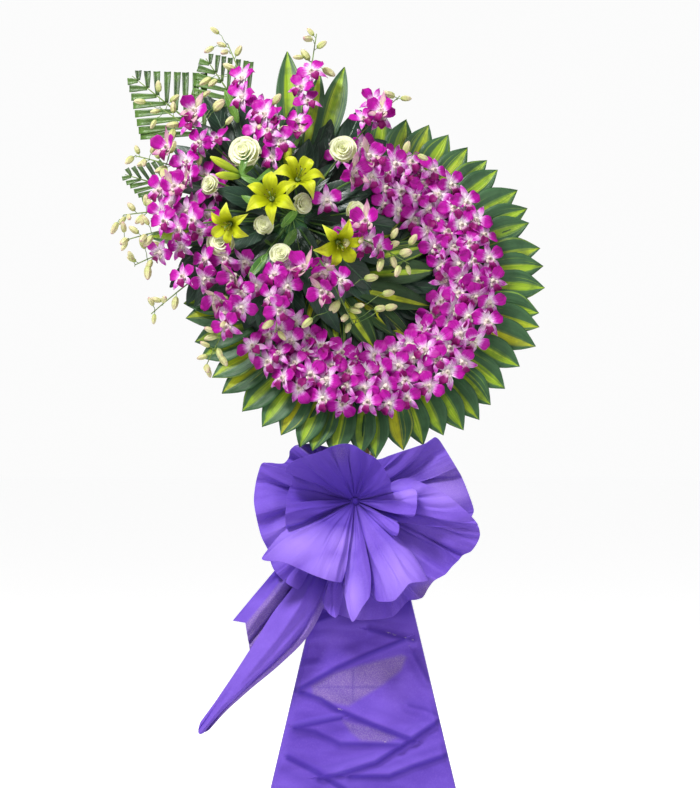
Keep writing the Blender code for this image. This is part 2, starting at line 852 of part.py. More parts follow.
def make_foam(foam):
    bm = bmesh.new()
    bmesh.ops.create_cube(bm, size=1)
    bmesh.ops.scale(bm, vec=FOAM_SIZE, verts=bm.verts)
    bmesh.ops.bevel(bm, geom=bm.edges[:], offset=0.008, segments=1, affect="EDGES", profile=0.5, material=-1)
    middle = seen(HUB_ACROSS, HUB_UP, FOAM_BASE + FOAM_SIZE[2] / 2)
    placed(bm, posed(middle, direction(1, 1, 0), OUTWARD))
    return new_object("foam_block", bm, foam)


# The two rounds of broad leaves: how many, where they start, their length, rise, and height on the collar
LEAF_ROUNDS = ((10, 0.080, 0.180, -0.02, 0.0035), (9, 0.082, 0.140, 0.04, 0.0085))
COLLAR = ((0.074, 0), (0.092, 0), (0.090, 0.011), (0.074, 0.011))
COLLAR_SIDES = 14
BROAD_LEAF_HALF_WIDTH = 0.031


def make_greenery(green):
    """Broad leaves on a low collar of their stalks, round the place where the other stems meet."""
    draw = random.Random(SEED + 7)
    middle = seen(HUB_ACROSS, HUB_UP, FOAM_BASE + FOAM_SIZE[2] + GAP)
    rows = []
    for k in range(COLLAR_SIDES):
        turn = 2 * math.pi * k / COLLAR_SIDES
        around = direction(math.cos(turn), math.sin(turn), 0)
        rows.append([middle + around * radius + OUTWARD * off for radius, off in COLLAR])
    core = sheet(rows + rows[:1], closed=True)
    leaves = []
    for number, (count, start, length, rise, off) in enumerate(LEAF_ROUNDS):
        for k in range(count):
            turn = 2 * math.pi * (k + 0.5 * number + 0.2 * draw.uniform(-1, 1)) / count
            around = direction(math.cos(turn), math.sin(turn), 0)
            run = direction(math.cos(turn), math.sin(turn), rise + 0.03 * draw.uniform(-1, 1))
            half = BROAD_LEAF_HALF_WIDTH * draw.uniform(0.88, 1.08)
            leaf = blade(length * draw.uniform(0.85, 1.08), half, OVAL, fold=0.12, arch=0.26)
            leaves.append(placed(leaf, posed(middle + around * start + OUTWARD * off, run, OUTWARD)))
    return fuse("greenery", core, leaves, green)


# Orchid sprays: tip, how far the tip and the bend stand off the face, florets, buds
SPRAYS = (
    ((-0.300, 0.535), 0.060, 0.120, 4, 3),
    ((-0.103, 0.560), 0.040, 0.110, 4, 3),
    ((0.082, 0.418), 0.050, 0.130, 4, 2),
    ((-0.448, 0.390), 0.060, 0.135, 4, 3),
    ((-0.500, 0.282), 0.060, 0.130, 4, 4),
    ((-0.526, 0.150), 0.060, 0.145, 5, 4),
    ((-0.520, 0.092), 0.095, 0.175, 4, 3),
    ((-0.500, 0.040), 0.050, 0.135, 3, 3),
    ((-0.462, -0.068), 0.060, 0.135, 4, 3),
    ((-0.345, -0.190), 0.070, 0.150, 5, 4),
    ((0.100, 0.040), 0.110, 0.180, 4, 4),
    ((-0.022, -0.090), 0.100, 0.190, 3, 3),
    ((-0.190, -0.110), 0.090, 0.160, 5, 2),
    ((0.120, 0.285), 0.110, 0.165, 4, 2),
    ((-0.205, 0.390), 0.120, 0.170, 5, 1),
)
SPRAY_FROM = 0.40  # the share of a stem below its lowest floret
SPRAY_ROOT = 0.035
STEM_FOOT = 0.067  # how far off the face the stems end, where they go into the foam
STALK = 0.026  # of a spray's floret
BUD_LENGTH = 0.030
BUD_RADIUS = 0.0065
LILY_BUD_RADIUS = 0.0105


def spray_path(tip, tip_off, bend_off):
    away = Vector((tip[0] - HUB_ACROSS, tip[1] - HUB_UP))
    toward = away.normalized()
    root = seen(HUB_ACROSS + toward.x * SPRAY_ROOT, HUB_UP + toward.y * SPRAY_ROOT, STEM_FOOT)
    bend = seen(HUB_ACROSS + away.x * 0.55, HUB_UP + away.y * 0.55 + 0.020, bend_off)
    return (root, bend, seen(tip[0], tip[1], tip_off))


def make_spray(number, spray, magenta):
    """An arching stem with florets on both sides and buds towards its tip."""
    tip, tip_off, bend_off, florets, buds = spray
    draw = random.Random(SEED + 200 + number)
    path = spray_path(tip, tip_off, bend_off)
    steps = 5
    points = [bezier(path, k / steps) for k in range(steps + 1)]
    radii = [STEM_RADIUS * (1.25 - 0.6 * k / steps) for k in range(steps + 1)]
    parts = []
    count = florets + buds
    for k in range(count):
        share = SPRAY_FROM + (0.97 - SPRAY_FROM) * (k / (count - 1)) ** 0.9
        point, run = bezier(path, share), bezier_run(path, share)
        side = 1 if k % 2 else -1
        sideways = run.cross(OUTWARD).normalized() * side
        if k < florets:
            out = (OUTWARD * 0.9 + sideways * 0.75 - run * 0.1).normalized()
            size = FLORET_REACH * draw.uniform(0.92, 1.05)
            facing = (OUTWARD + run * 0.5 + sideways * 0.25 + ACROSS * 0.1 * draw.uniform(-1, 1)).normalized()
            upright = Vector((draw.uniform(-0.5, 0.5), 0, 1))
            centre = point + facing * STALK * 0.6 + out * 0.010
            matrix = posed(centre, upright - facing * upright.dot(facing), facing)
            part = placed(floret(size, matrix.inverted() @ (point - out * STEM_RADIUS * 0.4)), matrix)
        else:
            length = BUD_LENGTH * (1 - 0.35 * (k - florets) / buds)
            out = (run * 0.8 + sideways * 0.8 + OUTWARD * 0.35).normalized()
            part = placed(bud(length, BUD_RADIUS), posed(point - out * 0.001, out, OUTWARD))
        parts.append(part)
    return fuse(f"orchid_spray_{number + 1}", tube(points, radii, 3), parts, magenta)


# Roses: place in the front view, off the face, radius, and turn of the face sideways and up
ROSES = (
    (-0.258, 0.284, 0.150, 0.036, -0.15, 0.25),
    (-0.044, 0.291, 0.140, 0.031, 0.15, 0.25),
    (-0.335, 0.214, 0.120, 0.022, -0.5, 0.1),
    (-0.130, 0.172, 0.118, 0.023, 0.6, 0.0),
    (-0.308, 0.086, 0.125, 0.031, -0.3, -0.35),
    (-0.178, 0.060, 0.150, 0.024, 0.0, -0.9),
    (-0.016, 0.154, 0.150, 0.023, 0.3, -0.1),
    (-0.216, 0.125, 0.118, 0.022, -0.1, -0.6),
)
# Lilies: the same, with reach in place of radius, and spin
LILIES = (
    (-0.199, 0.184, 0.190, 0.062, -0.10, 0.05, 0.0),
    (-0.138, 0.232, 0.165, 0.060, 0.25, 0.30, 0.5),
    (-0.050, 0.080, 0.160, 0.058, 0.30, -0.60, 0.2),
    (-0.292, 0.122, 0.160, 0.050, -0.35, -0.55, 0.1),
)
STAMEN = ((0.0, 0.0011), (0.50, 0.0009), (0.56, 0.0026), (0.66, 0.0012))  # share of reach, and radius
# Lily buds: root and tip in the front view, and off the face
LILY_BUDS = (
    (((-0.268, 0.236), (-0.332, 0.272)), ((-0.266, 0.228), (-0.320, 0.232)), 0.170),
    (((-0.184, 0.262), (-0.178, 0.308)), ((-0.168, 0.252), (-0.160, 0.300)), 0.150),
)


def headed(across, up, off, turn, tip):
    """The place and facing of a flower head, and the line of its stem back to the foam."""
    place = seen(across, up, off)
    facing = direction(turn, tip, 1.0)
    hub = seen(HUB_ACROSS, HUB_UP, STEM_FOOT)
    inward = hub - place
    flat = inward - OUTWARD * inward.dot(OUTWARD)
    reach = max(0.0, flat.length - 0.045)
    foot = place + flat.normalized() * reach
    foot -= OUTWARD * ((foot - MIDDLE).dot(OUTWARD) - STEM_FOOT)
    return place, facing, foot


def stem(place, facing, foot, neck):
    """A flower's stem, from its neck back to the foam."""
    start = place - facing * neck
    bend = start * 0.45 + foot * 0.55 - facing * 0.010
    points = [bezier((start, bend, foot), k / 3) for k in range(4)]
    return tube(points, (STEM_RADIUS,) * 4, 3)


def make_roses(cream):
    made = []
    for number, (across, up, off, radius, turn, tip) in enumerate(ROSES, 1):
        place, facing, foot = headed(across, up, off, turn, tip)
        head = placed(rose(radius), posed(place, UPWARD + ACROSS * 0.3 * (number % 3), facing))
        made.append(fuse(f"rose_{number}", head, [stem(place, facing, foot, radius * 0.8)], cream))
    return made


def make_lilies(lime):
    made = []
    for number, (across, up, off, reach, turn, tip, spin) in enumerate(LILIES, 1):
        place, facing, foot = headed(across, up, off, turn, tip)
        upright = UPWARD * math.cos(spin) + ACROSS * math.sin(spin)
        pose = posed(place, upright - facing * upright.dot(facing), facing)
        parts = [stem(place, facing, foot, reach * 0.66)]
        for k in range(6):
            lean = Vector(spun(0.32, math.radians(60 * k), 1.0)).normalized()
            points = [Vector((0, 0, -0.30 * reach)) + lean * reach * share for share, radius in STAMEN]
            parts.append(placed(tube(points, [radius for share, radius in STAMEN], 3), pose))
        made.append(fuse(f"lily_{number}", placed(lily(reach), pose), parts, lime))
    for number, (first, second, off) in enumerate(LILY_BUDS, 1):
        across, up = (first[0][0] + second[0][0]) / 2, (first[0][1] + second[0][1]) / 2
        joint = seen(across, up, off - 0.012)
        parts = []
        for (a, b), (c, d) in (first, second):
            root, tip = seen(a, b, off - 0.006), seen(c, d, off + 0.010)
            run = tip - root
            stalk = [joint, joint * 0.5 + root * 0.5, root + run * 0.1]
            parts.append(tube(stalk, (STEM_RADIUS,) * 3, 3))
            parts.append(placed(bud(run.length, LILY_BUD_RADIUS), posed(root, run, OUTWARD)))
        place, facing, foot = headed(across, up, off - 0.012, 0, 0)
        made.append(fuse(f"lily_buds_{number}", stem(place, facing, foot, -0.002), parts, lime))
    return made


# Striped leaves that stand up out of the spray: root, tip, half width, off the face
TALL_LEAVES = (
    ((-0.150, 0.300), (-0.168, 0.524), 0.031, 0.040),
    ((-0.118, 0.330), (-0.095, 0.470), 0.024, 0.056),
    ((-0.070, 0.300), (-0.040, 0.488), 0.028, 0.040),
    ((-0.300, 0.070), (-0.475, 0.105), 0.026, 0.040),
)


def make_tall_leaves(green):
    made = []
    for number, ((a, b), (c, d), half, off) in enumerate(TALL_LEAVES, 1):
        hub = Vector((HUB_ACROSS, HUB_UP))
        root = seen(*((Vector((a, b)) - hub) * 0.55 + hub), off)
        tip = seen(c, d, off)
        leaf = blade((tip - root).length, half, TALL_OUTLINE, fold=0.35, arch=0.03)
        placed(leaf, posed(root, tip - root, OUTWARD))
        made.append(new_object(f"tall_leaf_{number}", leaf, green))
    return made


# Trimmed fronds: root, tip, off the face, leaflets a side, the longest leaflet, and the slant of the
# right and the left side in degrees
FRONDS = (
    ((-0.345, 0.330), (-0.514, 0.466), 0.022, 8, 0.135, 50, 42),
    ((-0.255, 0.365), (-0.350, 0.506), 0.024, 7, 0.125, 38, 42),
    ((-0.400, 0.205), (-0.526, 0.243), 0.024, 6, 0.075, 40, 30),
)

FROND_STALK_RADIUS = 0.0026
RIB = 0.0022  # half the width of a frond's rib


def frond(length, leaflets, longest, slant_right, slant_left):
    """A frond cut straight along both sides, with leaflets parted down to its rib."""
    pitch = length / leaflets
    bm = bmesh.new()
    left, right = [], []
    for side, slant, chain in ((-1, slant_left, left), (1, slant_right, right)):
        lean = math.radians(slant)
        for k in range(leaflets):
            ends = []
            for part in (0.0, 0.66):
                run = (k + part) * pitch
                spot = bm.verts.new((side * RIB, run, 0))
                chain.append(spot)
                reach = longest * (1 - (k + part) / leaflets) + 0.012
                drop = -0.10 * reach - 0.004 * part
                ends.append(
                    bm.verts.new((side * (RIB + reach * math.sin(lean)), run + reach * math.cos(lean), drop))
                )
            bm.faces.new((chain[-2], chain[-1], ends[1], ends[0]))
        chain.append(bm.verts.new((side * RIB * 0.5, length, 0)))
    for k in range(len(left) - 1):
        bm.faces.new((left[k], right[k], right[k + 1], left[k + 1]))
    return thicken(bm, BLADE_THICK)


def make_fronds(green):
    made = []
    for number, ((a, b), (c, d), off, leaflets, longest, right, left) in enumerate(FRONDS, 1):
        hub = Vector((HUB_ACROSS, HUB_UP))
        root, tip = seen(a, b, off), seen(c, d, off)
        stalk_foot = seen(*((Vector((a, b)) - hub) * 0.30 + hub), off + 0.012)
        body = frond((tip - root).length, leaflets, longest, right, left)
        placed(body, posed(root, tip - root, OUTWARD))
        points = [stalk_foot, (stalk_foot + root) / 2, root + (tip - root) * 0.12]
        stalk = tube(points, (FROND_STALK_RADIUS,) * 3, 4)
        made.append(fuse(f"frond_{number}", stalk, [body], green))
    return made


def clear_scene():
    for obj in list(bpy.data.objects):
        bpy.data.objects.remove(obj)


def main():
    clear_scene()
    wood = material("stand_wood", (0.55, 0.40, 0.24), 0.7)
    cloth = material("purple_cloth", (0.22, 0.09, 0.66), 0.75)
    straw = material("backing_straw", (0.45, 0.36, 0.20), 0.9)
    foam = material("floral_foam", (0.05, 0.16, 0.07), 0.9)
    striped = material("striped_leaf", (0.12, 0.26, 0.06), 0.45)
    dark_leaf = material("dark_leaf", (0.03, 0.10, 0.05), 0.45)
    magenta = material("orchid", (0.55, 0.02, 0.50), 0.5)
    cream = material("rose", (0.85, 0.84, 0.62), 0.6)
    lime = material("lily", (0.70, 0.74, 0.12), 0.5)

    make_stand(wood)
    make_skirt(cloth)
    bow = [
        make_gathered("bow_front", FRONT_EDGE, KNOT_OFF, cloth),
        make_gathered("bow_back", BACK_EDGE, BACK_OFF, cloth),
    ]
    tails = [
        make_tail("bow_tail_long", LONG_TAIL, 0.7, cloth),
        make_tail("bow_tail_short", SHORT_TAIL, 0.5, cloth),
    ]
    knot = make_knot(cloth)

    heads = make_roses(cream) + make_lilies(lime)
    sprays = [make_spray(number, spray, magenta) for number, spray in enumerate(SPRAYS)]
    tall = make_tall_leaves(striped)
    fronds = make_fronds(dark_leaf)
    banks = make_banks(magenta)
    centre = make_centre_leaves(striped)
    rim = make_rim_leaves(striped)
    greenery = make_greenery(dark_leaf)
    foam_block = make_foam(foam)
    backing = make_backing(straw)

    # What stands in front keeps its form, and what lies behind is cut clear of it.
    order = heads + sprays + tall + fronds + bow + tails + [knot]
    order += banks + [greenery, centre, foam_block, rim, backing]
    settled = []
    for piece in order:
        clear_of(piece, settled)
        settled.append(piece)


main()
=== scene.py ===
# Looks for a standing funeral wreath: a round of striped leaves with a bank of orchids, a corner
# spray of orchids, lilies, roses and fronds, and a purple cloth bow and skirt on a lath stand.
import math
import random

import bmesh
import bpy
from mathutils import Matrix, Vector, noise


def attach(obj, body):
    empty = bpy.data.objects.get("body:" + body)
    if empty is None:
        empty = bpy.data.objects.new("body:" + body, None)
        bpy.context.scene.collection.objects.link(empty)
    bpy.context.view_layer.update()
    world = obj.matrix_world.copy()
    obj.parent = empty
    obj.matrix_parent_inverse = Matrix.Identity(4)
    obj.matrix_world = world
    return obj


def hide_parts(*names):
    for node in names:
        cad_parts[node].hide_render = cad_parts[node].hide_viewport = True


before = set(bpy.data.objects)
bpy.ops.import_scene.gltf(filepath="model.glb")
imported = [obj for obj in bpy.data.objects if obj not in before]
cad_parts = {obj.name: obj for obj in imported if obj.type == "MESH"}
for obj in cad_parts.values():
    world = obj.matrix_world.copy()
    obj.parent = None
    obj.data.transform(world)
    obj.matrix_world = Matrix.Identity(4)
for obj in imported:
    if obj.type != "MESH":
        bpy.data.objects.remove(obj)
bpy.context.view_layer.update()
print("frame loaded")

wreath = {
    "middle": (0.066, -0.068, 1.229),  # of the leaf round, on its face
    "lean": 12,  # degrees, backwards
    "seed": 11,
    "middlePixel": (363, 283),
    "metresPerPixel": 0.002186,
}
lean = math.radians(wreath["lean"])
sideways = Vector((1, 0, 0))
upward = Vector((0, math.sin(lean), math.cos(lean)))
outward = Vector((0, -math.cos(lean), math.sin(lean)))
middle = Vector(wreath["middle"])


def seeded(number):  # each piece has its own draws
    return random.Random(wreath["seed"] + number)


# Places on the wreath


def onFace(across, up, off):
    return middle + sideways * across + upward * up + outward * off


def seen(across, up, off):  # a place as the level front view shows it
    return onFace(across, (up - off * math.sin(lean)) / math.cos(lean), off)


def atPixel(x, y, off):
    scale = wreath["metresPerPixel"]
    return seen((x - wreath["middlePixel"][0]) * scale, (wreath["middlePixel"][1] - y) * scale, off)


def atHeight(across, height, off):
    return seen(across, height - wreath["middle"][2], off)


def polar(radius, angle, off):
    return onFace(radius * math.cos(angle), radius * math.sin(angle), off)


def direction(across, up, off):
    return (sideways * across + upward * up + outward * off).normalized()


def standing(heights, scale=1):  # points one above another
    return [Vector((0, 0, z * scale)) for z in heights]


def posed(point, run, facing):  # +Y along the run, +Z to the facing side
    y = run.normalized()
    z = (facing - facing.dot(y) * y).normalized()
    return Matrix.Translation(point) @ Matrix((y.cross(z), y, z)).transposed().to_4x4()


def curvePoint(points, share):
    a, b, c = points
    return a * (1 - share) ** 2 + b * (2 * share * (1 - share)) + c * share**2


def curveRun(points, share):
    a, b, c = points
    return ((b - a) * (1 - share) + (c - b) * share).normalized()


def readCurve(table, share):  # a smooth reading of pairs, between their own values
    last = len(table) - 1
    k = 0
    while k < last - 1 and share > table[k + 1][0]:
        k += 1
    slopes = []
    for i in (k, k + 1):
        a, b = table[max(i - 1, 0)], table[min(i + 1, last)]
        slopes.append((b[1] - a[1]) / (b[0] - a[0]))
    (x0, y0), (x1, y1) = table[k], table[k + 1]
    t = min(max((share - x0) / (x1 - x0), 0), 1)
    rise = t * t * (3 - 2 * t)
    return y0 + (y1 - y0) * rise + (x1 - x0) * (slopes[0] * t * (1 - t) ** 2 - slopes[1] * t * t * (1 - t))


# Mesh making


def startSheet(wide, long):  # a flat grid with its UVs; across -1 to 1, along 0 to 1
    bm = bmesh.new()
    bmesh.ops.create_grid(bm, x_segments=wide, y_segments=long, size=0.5)
    uv = bm.loops.layers.uv.new("sheet")
    bm.verts.layers.float.new("shade")
    low = min(v.co.x for v in bm.verts)
    for face in bm.faces:
        for loop in face.loops:
            x, y = loop.vert.co.x / (-2 * low), loop.vert.co.y / (-2 * low)
            loop[uv].uv = (x + 0.5, y + 0.5)
    for v in bm.verts:
        v.co = (v.co.x / -low, (v.co.y / -low + 1) / 2, 0)
    return bm


def shapeSheet(bm, rule):
    for v in bm.verts:
        v.co = rule(v.co.x, v.co.y)
    bmesh.ops.remove_doubles(bm, verts=bm.verts, dist=1e-5)
    bmesh.ops.dissolve_degenerate(bm, edges=bm.edges, dist=1e-5)
    bmesh.ops.recalc_face_normals(bm, faces=bm.faces)
    return bm


def thickened(bm, thickness):  # the narrow faces of the rim are tagged, to be left crisp
    bmesh.ops.solidify(bm, geom=bm.faces[:], thickness=thickness)
    for face in bm.faces:
        face.tag = sum(edge.calc_length() < 1.5 * abs(thickness) for edge in face.edges) >= 2
    return bm


def painted(bm, number):
    for face in bm.faces:
        face.material_index = number
        face.smooth = not face.tag
    return bm


def asMesh(bm, name):
    mesh = bpy.data.meshes.new(name)
    bm.to_mesh(mesh)
    bm.free()
    return mesh


def rolledTube(points, radii, sides):  # a sheet rolled round a line, closed at both ends
    bm = startSheet(sides, len(points) - 1)
    last = len(points) - 1
    frames, side = [], None
    for k, point in enumerate(points):
        run = (points[min(k + 1, last)] - points[max(k - 1, 0)]).normalized()
        side = run.orthogonal() if side is None else side - run * side.dot(run)
        side.normalize()
        frames.append((point, side.copy(), run.cross(side)))

    def rule(across, along):
        k = round(along * last)
        turn = math.pi * across
        point, first, second = frames[k]
        return point + (first * math.cos(turn) + second * math.sin(turn)) * radii[k]

    shapeSheet(bm, rule)
    bmesh.ops.holes_fill(bm, edges=[e for e in bm.edges if e.is_boundary])
    bmesh.ops.recalc_face_normals(bm, faces=bm.faces)
    return bm


def newWhole():
    whole = bmesh.new()
    whole.loops.layers.uv.new("sheet")
    whole.verts.layers.float.new("shade")
    return whole


def addCopy(whole, mesh, matrix=None, shade=0.5):
    before = len(whole.verts)
    whole.from_mesh(mesh)
    whole.verts.ensure_lookup_table()
    fresh = whole.verts[before:]
    if matrix:
        bmesh.ops.transform(whole, matrix=matrix, verts=fresh)
    layer = whole.verts.layers.float["shade"]
    for v in fresh:
        v[layer] = shade


def addPart(whole, bm, matrix=None, shade=0.5):
    mesh = asMesh(bm, "part")
    addCopy(whole, mesh, matrix, shade)
    bpy.data.meshes.remove(mesh)


def addDisc(whole, segments, radius, depth, place):
    disc = bmesh.new()
    bmesh.ops.create_cone(disc, cap_ends=True, segments=segments, radius1=radius, radius2=radius, depth=depth)
    disc.loops.layers.uv.new("sheet")
    disc.verts.layers.float.new("shade")
    addPart(whole, painted(disc, 1), posed(place, upward, outward))


def addTube(whole, points, radii, sides, paint, pose=None, shade=0.5):
    addPart(whole, painted(rolledTube(points, radii, sides), paint), pose, shade)


def finishPiece(whole, name, materials, nodes=(), levels=0):
    made = bpy.data.objects.new(name, asMesh(whole, name))
    bpy.context.scene.collection.objects.link(made)
    for material in materials:
        made.data.materials.append(material)
    if levels:
        smoother = made.modifiers.new("smooth", "SUBSURF")
        smoother.levels = smoother.render_levels = levels
    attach(made, "root")
    if nodes:
        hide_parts(*nodes)
    return made


# Paint: colours are given as they look on a screen


def tone(red, green, blue):
    return tuple(((c + 0.055) / 1.055) ** 2.4 if c > 0.04 else c / 12.92 for c in (red, green, blue)) + (1,)


def join(tree, value, socket):  # a link from a socket, or a plain value
    if isinstance(value, bpy.types.NodeSocket):
        tree.links.new(value, socket)
    else:
        socket.default_value = value


def put(tree, kind, options=None, **inputs):
    node = tree.nodes.new(kind)
    for name, value in (options or {}).items():
        setattr(node, name, value)
    for name, value in inputs.items():
        join(tree, value, node.inputs[name])
    return node


def work(tree, operation, first, second=0.0, third=None, clamp=False):
    node = put(tree, "ShaderNodeMath", {"operation": operation, "use_clamp": clamp})
    join(tree, first, node.inputs[0])
    join(tree, second, node.inputs[1])
    if third is not None:
        join(tree, third, node.inputs[2])
    return node.outputs[0]


def times(tree, first, second, clamp=False):
    return work(tree, "MULTIPLY", first, second, None, clamp)


def plus(tree, first, second, clamp=False):
    return work(tree, "ADD", first, second, None, clamp)


def minus(tree, first, second):
    return work(tree, "SUBTRACT", first, second)


def mixed(tree, factor, first, second):
    node = put(tree, "ShaderNodeMix", {"data_type": "RGBA"})
    join(tree, factor, node.inputs[0])
    join(tree, first, node.inputs[6])
    join(tree, second, node.inputs[7])
    return node.outputs[2]


def ramp(tree, factor, stops):
    node = put(tree, "ShaderNodeValToRGB", Fac=factor)
    node.color_ramp.interpolation = "EASE"
    points = node.color_ramp.elements
    while len(points) < len(stops):
        points.new(0.5)
    for point, (place, colour) in zip(points, stops):
        point.position = place
        point.color = colour
    return node.outputs[0]


def span(tree, value, low, high, first=0.0, second=1.0):
    node = put(tree, "ShaderNodeMapRange", {"interpolation_type": "SMOOTHSTEP"}, Value=value)
    for number, setting in enumerate((low, high, first, second), 1):
        join(tree, setting, node.inputs[number])
    return node.outputs[0]


def newGroup(name, inputs, outputs):
    tree = bpy.data.node_groups.new(name, "ShaderNodeTree")
    kinds = {"value": "NodeSocketFloat", "vector": "NodeSocketVector", "colour": "NodeSocketColor"}
    for label, kind in inputs:
        tree.interface.new_socket(name=label, in_out="INPUT", socket_type=kinds[kind])
    for label, kind in outputs:
        tree.interface.new_socket(name=label, in_out="OUTPUT", socket_type=kinds[kind])
    return tree, tree.nodes.new("NodeGroupInput"), tree.nodes.new("NodeGroupOutput")


def useGroup(tree, group, **inputs):
    node = tree.nodes.new("ShaderNodeGroup")
    node.node_tree = group
    for label, value in inputs.items():
        join(tree, value, node.inputs[label])
    return node


def splitSheet(tree, vector):  # across and along, both 0 to 1
    node = put(tree, "ShaderNodeSeparateXYZ", Vector=vector)
    return node.outputs[0], node.outputs[1]


def makeStreaks():  # streaks that run along a leaf or petal, and their fine lines
    tree, given, made = newGroup(
        "growthStreaks",
        (("Sheet", "vector"), ("Shade", "value"), ("Count", "value"), ("Waver", "value")),
        (("Streak", "value"), ("Line", "value")),
    )
    across, along = splitSheet(tree, given.outputs["Sheet"])
    place = put(
        tree,
        "ShaderNodeCombineXYZ",
        X=times(tree, across, given.outputs["Count"]),
        Y=times(tree, along, given.outputs["Waver"]),
        Z=times(tree, given.outputs["Shade"], 37),
    )
    wide = put(tree, "ShaderNodeTexNoise", Vector=place.outputs[0], Scale=1.0, Detail=2.0, Roughness=0.5)
    fine = put(tree, "ShaderNodeTexNoise", Vector=place.outputs[0], Scale=3.4, Detail=1.0, Roughness=0.5)
    tree.links.new(wide.outputs[0], made.inputs["Streak"])
    tree.links.new(span(tree, fine.outputs[0], 0.5, 0.68), made.inputs["Line"])
    return tree


def makeLeafVeins():  # a midrib and side veins
    tree, given, made = newGroup(
        "leafVeins",
        (("Sheet", "vector"), ("Count", "value"), ("Slant", "value")),
        (("Midrib", "value"), ("Vein", "value")),
    )
    across, along = splitSheet(tree, given.outputs["Sheet"])
    out = work(tree, "ABSOLUTE", minus(tree, across, 0.5))
    tree.links.new(span(tree, out, 0.012, 0.045, 1, 0), made.inputs["Midrib"])
    step = times(tree, along, given.outputs["Count"])
    lag = times(tree, out, given.outputs["Slant"])
    wave = work(tree, "SINE", times(tree, minus(tree, step, lag), 2 * math.pi))
    tree.links.new(span(tree, wave, 0.86, 1.0), made.inputs["Vein"])
    return tree


def makeMottle():  # slow changes of tone over a surface, and fine grains
    tree, given, made = newGroup(
        "mottle",
        (("Vector", "vector"), ("Scale", "value"), ("Grain", "value")),
        (("Slow", "value"), ("Fine", "value")),
    )
    slow = put(tree, "ShaderNodeTexNoise", Vector=given.outputs["Vector"], Detail=3.0, Roughness=0.55)
    tree.links.new(given.outputs["Scale"], slow.inputs["Scale"])
    fine = put(tree, "ShaderNodeTexNoise", Vector=given.outputs["Vector"], Detail=2.0, Roughness=0.6)
    tree.links.new(given.outputs["Grain"], fine.inputs["Scale"])
    tree.links.new(slow.outputs[0], made.inputs["Slow"])
    tree.links.new(fine.outputs[0], made.inputs["Fine"])
    return tree


streaks = makeStreaks()
leafVeins = makeLeafVeins()
mottle = makeMottle()


def newMaterial(name, roughness, **constants):
    material = bpy.data.materials.new(name)
    material.use_nodes = True
    tree = material.node_tree
    shader = tree.nodes["Principled BSDF"]
    shader.inputs["Roughness"].default_value = roughness
    for label, value in constants.items():
        shader.inputs[label.replace("_", " ")].default_value = value
    return material, tree, shader


def sheetVector(tree):
    return put(tree, "ShaderNodeUVMap", {"uv_map": "sheet"}).outputs[0]


def painting(tree, name):
    return put(tree, "ShaderNodeAttribute", {"attribute_name": name}).outputs["Fac"]


def objectVector(tree):
    return put(tree, "ShaderNodeTexCoord").outputs["Object"]


def dressed(tree, shader, colour, grain, rough, height, strength, distance):
    tree.links.new(colour, shader.inputs["Base Color"])
    tree.links.new(span(tree, grain, 0.3, 0.7, *rough), shader.inputs["Roughness"])
    node = put(tree, "ShaderNodeBump", Height=height, Strength=strength, Distance=distance)
    tree.links.new(node.outputs[0], shader.inputs["Normal"])


def petalMaterial(name, places, veinTone, veins, roughness, rays):
    # from the heart of a flower out to its tips, with veins, and each flower a little different
    material, tree, shader = newMaterial(name, roughness, Specular_IOR_Level=0.25)
    stops, veinColour = [(place, tone(*values)) for place, *values in places], tone(*veinTone)
    sheet, shade = sheetVector(tree), painting(tree, "shade")
    across, along = splitSheet(tree, sheet)
    lines = useGroup(tree, streaks, Sheet=sheet, Shade=shade, Count=9.0, Waver=0.7)
    shift = times(tree, minus(tree, shade, 0.5), 0.16)
    ray = times(tree, minus(tree, lines.outputs["Streak"], 0.5), rays)
    base = ramp(tree, plus(tree, along, minus(tree, shift, ray), clamp=True), stops)
    strength = times(tree, lines.outputs["Line"], veins)
    fade = times(tree, strength, span(tree, along, 0.04, 0.35))
    colour = mixed(tree, fade, base, veinColour)
    blotch = useGroup(tree, mottle, Vector=objectVector(tree), Scale=45.0, Grain=900.0)
    darker = span(tree, blotch.outputs["Slow"], 0.4, 0.65, 0.0, 0.5)
    colour = mixed(tree, darker, colour, mixed(tree, 0.45, colour, veinColour))
    grain = blotch.outputs["Fine"]
    height = plus(tree, lines.outputs["Streak"], times(tree, grain, 0.2))
    dressed(tree, shader, colour, grain, (roughness - 0.08, roughness + 0.1), height, 0.3, 0.0012)
    return material


